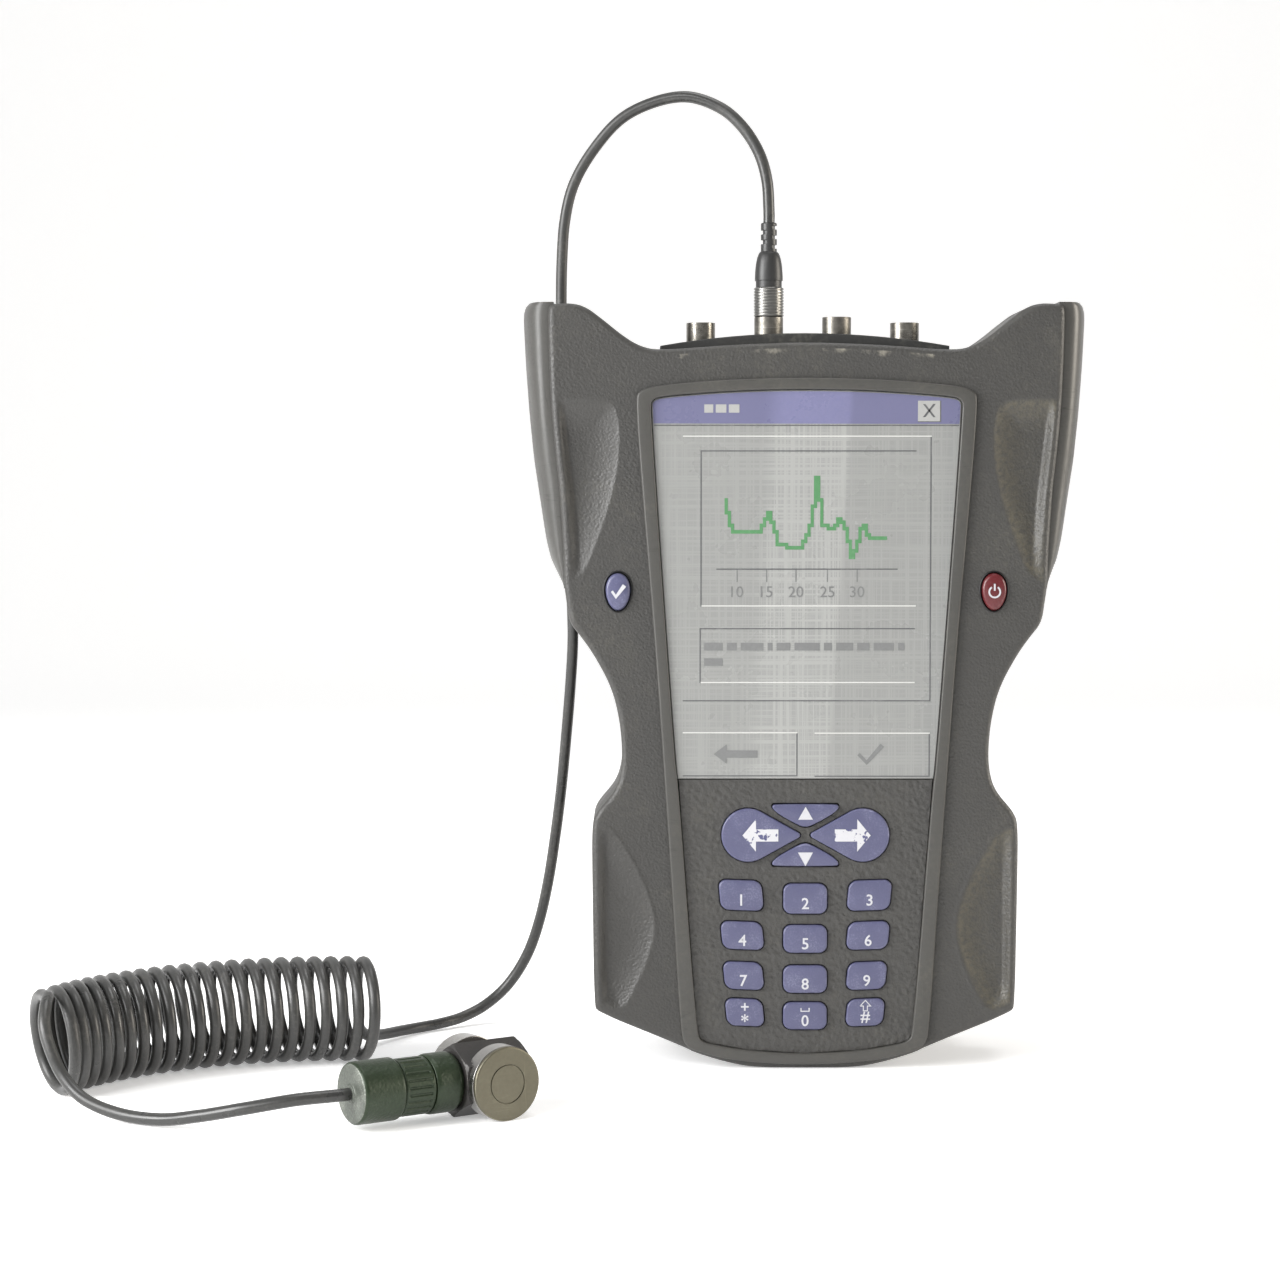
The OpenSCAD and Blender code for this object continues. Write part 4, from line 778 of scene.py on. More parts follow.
# Settings
class MeasuringSizes(bpy.types.PropertyGroup):
    """Sizes that a user may change."""
    cord_thickness: bpy.props.FloatProperty(
        name="Lead thickness", description="Outside diameter of the lead", default=0.0029,
        min=0.0025, max=0.003, subtype="DISTANCE", unit="LENGTH")
    key_round: bpy.props.FloatProperty(
        name="Key edge", description="Radius round the front of each key", default=0.00042,
        min=0.0001, max=0.0008, subtype="DISTANCE", unit="LENGTH")
    key_crown: bpy.props.FloatProperty(
        name="Key crown", description="Height of the middle of a key over its edge",
        default=0.00012, min=0.0, max=0.0003, subtype="DISTANCE", unit="LENGTH")
    hollow_blend: bpy.props.FloatProperty(
        name="Grip hollow edge", description="Width of the slope round each grip hollow",
        default=0.0016, min=0.0006, max=0.003, subtype="DISTANCE", unit="LENGTH")
    light_level: bpy.props.FloatProperty(
        name="Light", description="Strength of the studio lamps", default=1.0, min=0.1, max=4.0)


class MeasuringColours(bpy.types.PropertyGroup):
    """Colours that a user may change."""
    floor_colour: bpy.props.FloatVectorProperty(
        name="Floor", description="Colour of the floor and backdrop", subtype="COLOR", size=3,
        default=(0.86, 0.86, 0.86), min=0.0, max=1.0)


# Operators
class BuildStep(bpy.types.Operator):
    """One step of the build."""
    bl_options = {"REGISTER", "UNDO"}

    def execute(self, context):
        """Runs the step with the scene's own sizes and colours."""
        self.make(context.scene.measuring_sizes, context.scene.measuring_colours)
        return {"FINISHED"}


class MEASURING_OT_stage(BuildStep):
    """Camera, floor, backdrop and studio lamps"""
    bl_idname = "measuring.stage"
    bl_label = "Stage"

    def make(self, sizes, colours):
        scene = bpy.context.scene
        scene.view_settings.view_transform = "Standard"
        self.camera(scene)
        self.sweep(scene, colours.floor_colour)
        self.sky(scene)
        self.lamps(scene, sizes.light_level)

    def camera(self, scene):
        """The photograph's view, without shift or depth of field."""
        data = bpy.data.cameras.new("camera")
        data.lens, data.sensor_width = CAMERA_LENS, 36.0
        data.clip_start, data.clip_end = 0.02, 20.0
        camera = bpy.data.objects.new("camera", data)
        camera.location = CAMERA_PLACE
        camera.rotation_euler = (np.radians(90 - CAMERA_DIP), 0, 0)
        scene.collection.objects.link(camera)
        scene.camera = camera

    def sweep(self, scene, floor_colour):
        """A flat floor, then a quarter round r (sin a, 1 - cos a) up to a wall. Camera, glossy
        and transmission rays see it lighter than the object's light finds it."""
        a = np.linspace(0, np.pi / 2, 16)
        bend = np.stack([np.sin(a), 1 - np.cos(a)], 1) * SWEEP_ROUND + (SWEEP_BACK, 0)
        run = np.concatenate([[[SWEEP_FRONT, 0]], bend, [[SWEEP_BACK + SWEEP_ROUND, SWEEP_TOP]]])
        x = np.array([-SWEEP_HALF, SWEEP_HALF])
        points = np.stack(np.broadcast_arrays(x[None, :], run[:, :1], run[:, 1:]), -1)
        n = len(run) - 1
        k = np.arange(n)[:, None] * 2
        mesh = bpy.data.meshes.new("sweep")
        mesh.from_pydata(points.reshape(-1, 3).tolist(), [],
                         (k + np.array([[0, 1, 3, 2]])).tolist())
        mesh.polygons.foreach_set("use_smooth", np.ones(n, bool))
        sweep = bpy.data.objects.new("sweep", mesh)
        scene.collection.objects.link(sweep)
        material = bpy.data.materials.new("studio floor")
        material.use_nodes = True
        w = Wires(material.node_tree)
        shader = material.node_tree.nodes["Principled BSDF"]
        out = material.node_tree.nodes["Material Output"]
        shader.inputs["Base Color"].default_value = (*floor_colour, 1)
        shader.inputs["Roughness"].default_value = 0.9
        shader.inputs["Specular IOR Level"].default_value = 0.0
        path = w.node("LightPath").outputs
        seen = w.math("MAXIMUM", path["Is Camera Ray"],
                      w.math("MAXIMUM", path["Is Glossy Ray"], path["Is Transmission Ray"]))
        white = w.node("BsdfDiffuse", {"Color": (1, 1, 1, 1)})
        glow = w.node("Emission", {"Color": (1, 1, 1, 1), "Strength": FLOOR_GLOW})
        both = w.node("AddShader", {0: white.outputs[0], 1: glow.outputs[0]})
        mixed = w.node("MixShader", {0: seen, 1: shader.outputs[0], 2: both.outputs[0]})
        material.node_tree.links.new(mixed.outputs[0], out.inputs["Surface"])
        mesh.materials.append(material)

    def sky(self, scene):
        """An even world: white to the camera, and a soft level as light."""
        world = bpy.data.worlds.new("studio")
        scene.world = world
        world.use_nodes = True
        w = Wires(world.node_tree)
        sky = world.node_tree.nodes["Background"]
        path = w.node("LightPath").outputs
        level = w.add(w.mul(path["Is Camera Ray"], 1 - SKY_LEVEL), SKY_LEVEL)
        sky.inputs["Color"].default_value = (1, 1, 1, 1)
        world.node_tree.links.new(level, sky.inputs["Strength"])

    def lamps(self, scene, light_level):
        """Soft square lamps that face the object and that the camera doesn't see."""
        for name, place, size, power, tint in LAMPS:
            lamp = bpy.data.lights.new(name, "AREA")
            lamp.size, lamp.energy, lamp.color = size, power * light_level, tint
            made = bpy.data.objects.new(name, lamp)
            made.location = place
            made.visible_camera = False
            way = np.array(LAMP_AIM) - place
            made.rotation_euler = (np.arctan2(np.hypot(*way[:2]), -way[2]), 0,
                                   np.arctan2(way[1], way[0]) - np.pi / 2)
            scene.collection.objects.link(made)


class MEASURING_OT_finishes(BuildStep):
    """Materials, and the finish of every part of the frame"""
    bl_idname = "measuring.finishes"
    bl_label = "Finishes"

    def make(self, sizes, colours):
        build_groups()
        for name, values in FINISHES.items():
            finish(name, **values)
        painted = {node: paint for paint, nodes in CAD_FINISH.items() for node in nodes.split()}
        for name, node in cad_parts.items():
            used = painted.get(name, "blue key")
            node.data.materials.clear()
            node.data.materials.append(bpy.data.materials[used])
        for name, width in (("keypad_plate", 0.12), ("connector_panel", 0.35),
                            ("battery_cover", 0.4), ("battery_cover_screws", 0.2),
                            ("case_screws", 0.25)):
            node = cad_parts[name]
            weld = node.modifiers.new("weld", "WELD")
            weld.merge_threshold = 1e-6
            bevel = node.modifiers.new("eased edges", "BEVEL")
            bevel.width, bevel.segments, bevel.limit_method = width * MM, 2, "ANGLE"
            bevel.angle_limit = np.radians(35)


class MEASURING_OT_lead(BuildStep):
    """The lead as one cord, with its curls"""
    bl_idname = "measuring.lead"
    bl_label = "Lead"

    def make(self, sizes, colours):
        thick = sizes.cord_thickness
        line = cord_line(thick / MM) * MM
        data = bpy.data.curves.new("lead", "CURVE")
        data.dimensions, data.bevel_depth, data.bevel_resolution = "3D", thick / 2, 3
        data.use_fill_caps, data.twist_mode = True, "MINIMUM"
        spline = data.splines.new("POLY")
        spline.points.add(len(line) - 1)
        spline.points.foreach_set("co", np.hstack([line, np.ones((len(line), 1))]).ravel())
        spline.use_smooth = True
        data.materials.append(bpy.data.materials["cord skin"])
        made = bpy.data.objects.new("lead", data)
        bpy.context.scene.collection.objects.link(made)
        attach(made, "handset")
        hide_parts("cord_lead", "cord_coil", "cord_tail")


def scalloped(points, to_edge, blend):
    """The grip hollows at points of the face: a bowl d (1 - (1 - s)^2), with s the distance in
    from the hollow's outline over the bowl's width, let out again towards the case's edge."""
    depth, dirt, rim = (np.zeros(len(points)) for _ in range(3))
    right = np.abs(points[:, :1]) * (1, 0) + points * (0, 1)
    for share, push, deep, wide in SCALLOPS:
        share = np.array(share)
        share[:, 0] += 0.09 * (share[:, 0] > push)
        inside = inside_depth(right, softened(share * (HALF_W, CASE_H), 5))
        s = np.clip((inside + 0.2 * blend) / wide, 0, 1)
        bowl = deep * (1 - (1 - s) ** 2) * smoothstep(to_edge, 0.0, 2.2 * blend)
        lip = 0.14 * np.exp(-((inside + 0.5) / 0.55) ** 2) * smoothstep(to_edge, 0.5, 3.0)
        depth = np.maximum(depth, bowl) - lip
        # Dust with a painted warm sheen just inside the rim of each right-hand hollow
        dusty_sheen = np.exp(-np.maximum(inside, 0) / 5) * smoothstep(inside, -0.5, 0.8)
        dirt = np.maximum(dirt, 0.2 * dusty_sheen * (points[:, 0] > 0))
        # Wear along each hollow's ridge, partly a painted highlight on it
        rim = np.maximum(rim, 0.62 * np.exp(-((inside + 0.2 * blend) / 0.45) ** 2))
    return depth, dirt, rim


def arc_rows(line, r, y_face, way, steps=6):
    """A quarter round of radius r at a closed line's edge: offset r (1 - sin a), depth
    y_face + way r (1 - cos a), for a from 0 to 90 degrees."""
    return [(offset(line, r * (1 - np.sin(a))), y_face + way * r * (1 - np.cos(a)))
            for a in np.linspace(0, np.pi / 2, steps + 1)]


class MEASURING_OT_case(BuildStep):
    """Front and back mouldings of the case, with grip hollows, rolled edges and hump"""
    bl_idname = "measuring.case"
    bl_label = "Case"

    def make(self, sizes, colours):
        line = evenly(eased(softened(mirrored(CASE_SHARE), 1), 1.0), 960)
        self.front(line, sizes.hollow_blend / MM)
        self.back(line)

    def front(self, line, blend):
        """Rows: face between the fascia and the rolled edge as (1 - t) inner + t outer, the edge,
        the side to the joint with its small chamfer, and back along the inside."""
        centre, count = (0.0, MID_Z), 84
        angles = bearing(line, centre)
        edge = [(at_bearings(ring, centre, angles), y) for ring, y in
                arc_rows(line, FACE_EDGE_R, FACE_Y, 1)]
        inner = at_bearings(offset(evenly(softened(mirrored(BEZEL_SHARE)), 900), 1.2), centre,
                            angles)
        t = np.linspace(0, 1, count)[:, None, None]
        face = (1 - t) * inner + t * edge[0][0]
        to_edge = np.linalg.norm(face - face[-1:], axis=2)
        depth, dirt, rim = (v.reshape(count, -1) for v in scalloped(face.reshape(-1, 2),
                                                                    to_edge.ravel(), blend))
        inside = at_bearings(offset(line, WALL), centre, angles)
        tail = edge[1:] + [(line, -8.0), (line, -SEAM), (offset(line, SEAM), -0.05),
                           (inside, -0.05), (inside, FACE_Y + WALL), (inner, FACE_Y + WALL)]
        rows = np.concatenate([np.stack([face[..., 0], FACE_Y + depth, face[..., 1]], -1),
                               rings(tail)])
        wear = np.zeros(rows.shape[:2])
        dust_and_sheen_mask = np.zeros(rows.shape[:2])
        # Rubbed edges, partly painted highlights along the hollows' ridges, and dust with a painted
        # warm sheen inside the right-hand hollows
        wear[:count], dust_and_sheen_mask[:count] = rim, dirt
        upper = (face[..., 1] > 0.9 * CASE_H) & (np.abs(face[..., 0]) < 0.45 * HALF_W)
        wear[:count] = np.maximum(wear[:count], 1.1 * np.exp(-(to_edge / 4) ** 2) * upper)
        wear[count - 1:count + 5] = np.maximum(wear[count - 1:count + 5], 0.6)
        made = piece("case_front", grid(rows, wrap=True, edge=wear), "case front", "handset",
                     ["front_case"], extra={"dirt": dust_and_sheen_mask.ravel()})
        holes = [grid(rings([(egg(s * BUTTON_X, BUTTON_Z, 6.9, 9.9), y) for y in (-24.0, -18.0)]))
                 for s in (-1, 1)]
        cut_out(made, joined(*holes))

    def back(self, line):
        """Rows: joint, side, rolled edge, flat to the hump's foot, the hump's side and its round,
        its top to the cover's pocket, and the pocket. Lines meet on rays from the cover."""
        centre = COVER_CENTRE
        x, z = COVER_HALF
        corners = np.arctan2([z, z, -z, -z], [x, -x, -x, x])
        edge = arc_rows(line, EAR_EDGE_R, EAR_Y, -1)
        angles = np.sort(np.concatenate([bearing(edge[0][0], centre), corners]))
        hump = evenly(softened(mirrored(HUMP_SHARE), 4), 1200)
        hump = offset(hump, 0.3)
        box = np.array([[x, -z], [x, z], [-x, z], [-x, -z]]) + centre

        def ray(shape_line):
            """The line's points on the shared rays."""
            return at_bearings(shape_line, centre, angles)

        outer = [(ray(p), y) for p, y in [(offset(line, WALL), 0.05), (offset(line, SEAM), 0.05),
                                          (line, SEAM)] + edge[::-1]]
        foot = ray(offset(hump, -1.0))
        foot[:, 1] = np.maximum(foot[:, 1], 0.1)
        t = np.linspace(0, 1, 10)[1:-1]
        flat = [((1 - k) * outer[-1][0] + k * foot, EAR_Y) for k in t]
        rise = [(foot, EAR_Y), (ray(offset(hump, -0.3)), EAR_Y + 0.3), (ray(hump), EAR_Y + 1.0),
                (ray(hump), HUMP_Y - HUMP_EDGE_R)]
        roll = [(ray(p), y) for p, y in arc_rows(hump, HUMP_EDGE_R, HUMP_Y, -1, 8)[::-1]]
        pocket = [(ray(grown(box, 0.1)), HUMP_Y), (ray(box), HUMP_Y - 0.1), (ray(box), 19.3)]
        levels = outer + flat + rise + roll + pocket
        wear = np.zeros(len(levels))
        wear[1:3], wear[4:9] = 0.4, 0.8
        rolled = len(outer) + len(flat) + len(rise)
        wear[rolled + 3:rolled + 7] = 0.6
        shell = grid(rings(levels), edge=wear)
        made = piece("case_back", shell, "case back", "handset", ["back_case"])
        bores = [lathe([(2.8, 0), (2.8, 6)], 32).moved([[1, 0, 0, s * sx * HALF_W],
                                                        [0, 0, 1, 5.4], [0, -1, 0, sz * CASE_H],
                                                        [0, 0, 0, 1]])
                 for s in (-1, 1) for sx, sz in SCREW_PLACES]
        cut_out(made, joined(*bores))


class MEASURING_OT_bumpers(BuildStep):
    """Smooth bumpers round the upper corners"""
    bl_idname = "measuring.bumpers"
    bl_label = "Bumpers"

    def make(self, sizes, colours):
        """Sections x = a + (b - a) sin(p)^0.7, y = mid - half cos(p), closed inside the wall,
        carried up the flank between its smoothed shares."""
        f = np.array(FLANK_SHARE)
        v = np.linspace(0, len(f) - 1, 90)
        smooth = np.stack([np.interp(v, np.arange(len(f)), f[:, k]) for k in range(3)], 1)
        for _ in range(4):
            smooth[1:-1] = 0.25 * smooth[:-2] + 0.5 * smooth[1:-1] + 0.25 * smooth[2:]
        z, a, b = smooth[:, 0] * CASE_H, smooth[:, 1] * HALF_W, smooth[:, 2] * HALF_W
        p = np.linspace(0, np.pi, 26)[None, :]
        y = BUMPER_MID_Y - BUMPER_HALF_Y * np.cos(p) + 0 * z[:, None]
        x = a[:, None] + np.maximum(b - a, 0.2)[:, None] * np.sin(p) ** 0.7
        x = np.concatenate([x, a[:, None] - 1.2, a[:, None] - 1.2], 1)
        y = np.concatenate([y, y[:, -1:], y[:, :1]], 1)
        rows = np.stack([x, y, np.broadcast_to(z[:, None], x.shape)], -1)
        wear = np.zeros(rows.shape[:2])
        wear[:, 1:5] = 0.7
        wear[-8:] = 0.6
        for s, name in ((-1, "left"), (1, "right")):
            piece(f"bumper_{name}", grid(rows * (s, 1, 1), edge=wear), "side bumper", "handset",
                  [f"{name}_bumper"])


class MEASURING_OT_fascia(BuildStep):
    """Raised frame round the screen and the keypad"""
    bl_idname = "measuring.fascia"
    bl_label = "Fascia frame"

    def make(self, sizes, colours):
        """A closed section between the frame's outline and its opening, with both front edges
        rounded, met on rays from the middle."""
        centre = (0.0, MID_Z)
        outer = evenly(softened(mirrored(BEZEL_SHARE)), 720)
        opening = softened(mirrored(OPENING_SHARE), 3)
        angles = bearing(outer, centre)

        def ray(line):
            """The line's points on the shared rays."""
            return at_bearings(line, centre, angles)

        low = FACE_Y + 0.3
        out_round = [(offset(outer, 0.55 * (1 - np.cos(a))), BEZEL_Y + 0.55 * (1 - np.sin(a)))
                     for a in np.linspace(0, np.pi / 2, 6)]
        in_round = [(ray(offset(evenly(opening, 720), -0.4 * (1 - np.sin(a)))),
                     BEZEL_Y + 0.4 * (1 - np.cos(a))) for a in np.linspace(0, np.pi / 2, 6)]
        levels = ([(outer, low)] + out_round + in_round
                  + [(ray(opening), LEDGE_Y + 0.4), (offset(outer, 1.0), LEDGE_Y + 0.4),
                     (offset(outer, 1.0), low)])
        wear = np.zeros(len(levels))
        # Lighter rubbed outer front edge, partly a painted highlight
        wear[2:7] = 0.95
        wear[7:13] = 0.45
        piece("fascia_frame", grid(rings(levels), wrap=True, edge=wear), "fascia frame", "handset",
              ["bezel_frame"])


def corner_arc(c, r, a0, n=6):
    """A quarter circle c + r (cos a, sin a) that starts at the angle a0."""
    a = np.radians(a0) + np.linspace(0, np.pi / 2, n + 1)
    return np.stack([c[0] + r * np.cos(a), c[1] + r * np.sin(a)], 1)


def pad_outline(column, row):
    """A number key's outline: round corners, its sides slanted to follow the tapering plate."""
    w = (PAD_W[row] if column else PAD_MIDDLE_W) * HALF_W
    h = PAD_H[row] * CASE_H
    cx = column * (PAD_STEP * HALF_W - row * 0.312)
    cz = PAD_Z[row] * CASE_H - (0 if column else 0.85)
    u, v = w / 2 - 2, h / 2 - 2
    q = np.concatenate([corner_arc((u, v), 2, 0), corner_arc((-u, v), 2, 90),
                        corner_arc((-u, -v), 2, 180), corner_arc((u, -v), 2, 270)])
    return np.stack([cx + q[:, 0] + column * 0.7 * q[:, 1] / h,
                     cz + q[:, 1] + column * 0.35 * q[:, 0] / w], 1)


def arrow_outline(s):
    """An arrow key: a round outer end and a small round tip that points at the middle."""
    big, small = 6.6, 0.7
    x1, x0 = 0.202 * HALF_W, 0.018 * HALF_W + small
    lift = np.arcsin((big - small) / (x1 - x0))
    a = np.linspace(-1, 1, 29)[:, None] * (np.pi / 2 + lift)
    b = np.linspace(-1, 1, 5)[:, None] * (np.pi / 2 - lift)
    q = np.concatenate([np.hstack([x1 + big * np.cos(a), ARROW_Z + big * np.sin(a)]),
                        np.hstack([x0 - small * np.cos(b), ARROW_Z - small * np.sin(b)])])
    return q * (s, 1)


def up_outline(down):
    """The upper arrow key's outline, or its mirror picture z = 2 m - z for the lower one."""
    share = [[0, 0.3175], [0.02, 0.319], [0.09, 0.333], [0.115, 0.341], [0.118, 0.3445],
             [0.112, 0.3475]]
    line = softened(mirrored(share), 2)
    return np.stack([line[:, 0], 2 * ARROW_Z - line[:, 1]], 1) if down else line


def key_cap(line, front, back, r, crown):
    """A key: straight sides, a round edge of radius r, and a face that rises by
    crown (1 - s^2) towards its middle."""
    line = evenly(line, 96)
    levels, wear = [(line, back), (line, front + 1.4 * r)], [0, 0]
    for a in np.linspace(0, np.pi / 2, 6):
        levels.append((grown(line, -r * (1 - np.cos(a))), front + r * (1 - np.sin(a))))
        wear.append(0.8)
    low, high = line.min(0), line.max(0)
    middle, top = (low + high) / 2, grown(line, -r)
    for s in (0.96, 0.85, 0.65, 0.4, 0.15):
        levels.append((middle + (top - middle) * s, front - crown * (1 - s * s)))
        wear.append(0)
    return grid(rings(levels), edge=wear)


def triangle(cx, cz, w, h):
    """A solid triangle sign; a negative height points it down."""
    return [(cx - w / 2, cz - h / 2), (cx + w / 2, cz - h / 2), (cx, cz + h / 2)]


def arrow_sign(tip, cz, s, long=8.8, head=3.3, high=4.0, shaft=1.5):
    """A broad arrow along X whose tip points to side s."""
    q = np.array([(-long, -shaft), (-head, -shaft), (-head, -high), (0, 0), (-head, high),
                  (-head, shaft), (-long, shaft)])
    return (q * (s, 1) + (s * tip, cz)).tolist()


def arc_band(cx, cz, r, t, a0, a1, n=24):
    """A band of width t along an arc, as one closed loop."""
    a = np.radians(np.linspace(a0, a1, n))
    out = np.stack([cx + (r + t / 2) * np.cos(a), cz + (r + t / 2) * np.sin(a)], 1)
    back = np.stack([cx + (r - t / 2) * np.cos(a), cz + (r - t / 2) * np.sin(a)], 1)
    return np.concatenate([out, back[::-1]]).tolist()


def stroke(points, t):
    """A band of width t along a bent line, as one closed loop with mitred corners."""
    p = np.array(points, float)
    way = np.diff(p, axis=0)
    way /= np.linalg.norm(way, axis=1)[:, None]
    ways = np.concatenate([way[:1], way[:-1] + way[1:], way[-1:]])
    ways /= np.linalg.norm(ways, axis=1)[:, None]
    side = np.stack([-ways[:, 1], ways[:, 0]], 1)
    reach = t / 2 / np.maximum((side[:-1] * np.stack([-way[:, 1], way[:, 0]], 1)).sum(1), 0.4)
    reach = np.concatenate([reach, reach[-1:]])[:, None]
    return np.concatenate([p + side * reach, (p - side * reach)[::-1]]).tolist()


class MEASURING_OT_keys(BuildStep):
    """Keys, their signs, the two side buttons and their gaskets"""
    bl_idname = "measuring.keys"
    bl_label = "Keys"

    def make(self, sizes, colours):
        r, crown = sizes.key_round / MM, sizes.key_crown / MM
        print_y = KEY_Y - crown - 0.02
        self.pads(r, crown, print_y)
        self.arrows(r, crown, print_y)
        self.buttons()
        self.rims()

    def pads(self, r, crown, print_y):
        """The number keys, row by row, each with its digit and the last row with its signs."""
        names = "1 2 3 4 5 6 7 8 9 star 0 hash".split()
        for k, name in enumerate(f"key_{n}" for n in names):
            row, column = k // 3, k % 3 - 1
            line = pad_outline(column, row)
            middle = (line.min(0) + line.max(0)) / 2
            sign = {"star": "*", "hash": "#"}.get(name[4:], name[4:])
            text = upright(glyph(sign, 2.8), middle[0], print_y, middle[1] - 1.1)
            if name == "key_star":
                text = joined(upright(glyph("*", 2.0), middle[0], print_y, middle[1] - 1.3),
                              upright(glyph("+", 1.9), middle[0], print_y, middle[1] + 1.5))
            elif name == "key_hash":
                q = np.array([(-1.3, 0.1), (0, 1.5), (1.3, 0.1), (0.5, 0.1), (0.5, -1.1),
                              (-0.5, -1.1), (-0.5, 0.1)])
                text = joined(text, upright(mark(stroke(np.vstack([q, q[:1]]), 0.22)), middle[0],
                                            print_y, middle[1] + 1.6))
            elif name == "key_0":
                text = joined(text, upright(mark(stroke([(-1, 0.45), (-1, -0.35), (1, -0.35),
                                                         (1, 0.45)], 0.25)), middle[0], print_y,
                                            middle[1] + 1.6))
            cap = key_cap(line, KEY_Y, KEY_BACK, r, crown)
            piece(f"{name}_cap", joined(cap, text.painted(1)), ["blue key", "white print"], name,
                  [name])

    def arrows(self, r, crown, print_y):
        """The four arrow keys with their signs."""
        worn, clean = "worn print", "white print"
        for name, line, sign, paint in (
                ("key_left", arrow_outline(-1), mark(arrow_sign(15.5, ARROW_Z, -1)), worn),
                ("key_right", arrow_outline(1), mark(arrow_sign(16.0, ARROW_Z, 1)), worn),
                ("key_up", up_outline(False), mark(triangle(0, 63.5, 3.6, 3.2)), clean),
                ("key_down", up_outline(True), mark(triangle(0, 52.1, 3.7, -3.4)), clean)):
            cap = key_cap(line, KEY_Y, KEY_BACK, r, crown)
            piece(f"{name}_cap", joined(cap, upright(sign, 0, print_y, 0).painted(1)),
                  ["blue key", paint], name, [name])

    def buttons(self):
        """The two side buttons, with a tick and a power sign."""
        front = FACE_Y - 1.3
        tick = mark(stroke([(-1.5, 0.2), (-0.5, -1.2), (1.6, 1.6)], 0.62))
        power = joined(mark(arc_band(0, 0, 1.35, 0.42, 122, 418)),
                       mark([(-0.21, 0.3), (0.21, 0.3), (0.21, 2.0), (-0.21, 2.0)]))
        for name, s, sign, paint, slot in (("ok_button", -1, tick, "blue key", "key_blue"),
                                           ("power_button", 1, power, "red key", "key_red")):
            cap = key_cap(egg(s * BUTTON_X, BUTTON_Z, 6.0, 9.1), front, -19.0, 0.9, 0.25)
            sign = upright(sign, s * BUTTON_X, front - 0.27, BUTTON_Z)
            piece(f"{name}_cap", joined(cap, sign.painted(1)), [paint, "white print"], name,
                  [name])

    def rims(self):
        """The buttons' gaskets: a closed section of eggs (width, height) at their depths."""
        rim = [((7.4, 10.4), FACE_Y + 0.05), ((7.3, 10.3), FACE_Y - 0.2), ((6.95, 9.95), -22.3),
               ((6.5, 9.6), -22.2), ((6.35, 9.45), -21.9), ((6.35, 9.45), -19.6),
               ((6.8, 9.8), -19.6), ((6.8, 9.8), -21.9)]
        made = [grid(rings([(egg(s * BUTTON_X, BUTTON_Z, *wh), y) for wh, y in rim]), wrap=True,
                     edge=np.array([0, 1, 1, 1, 0, 0, 0, 0])) for s in (-1, 1)]
        piece("button_rims", joined(*made), "gasket rubber", "handset", ["button_gaskets"])


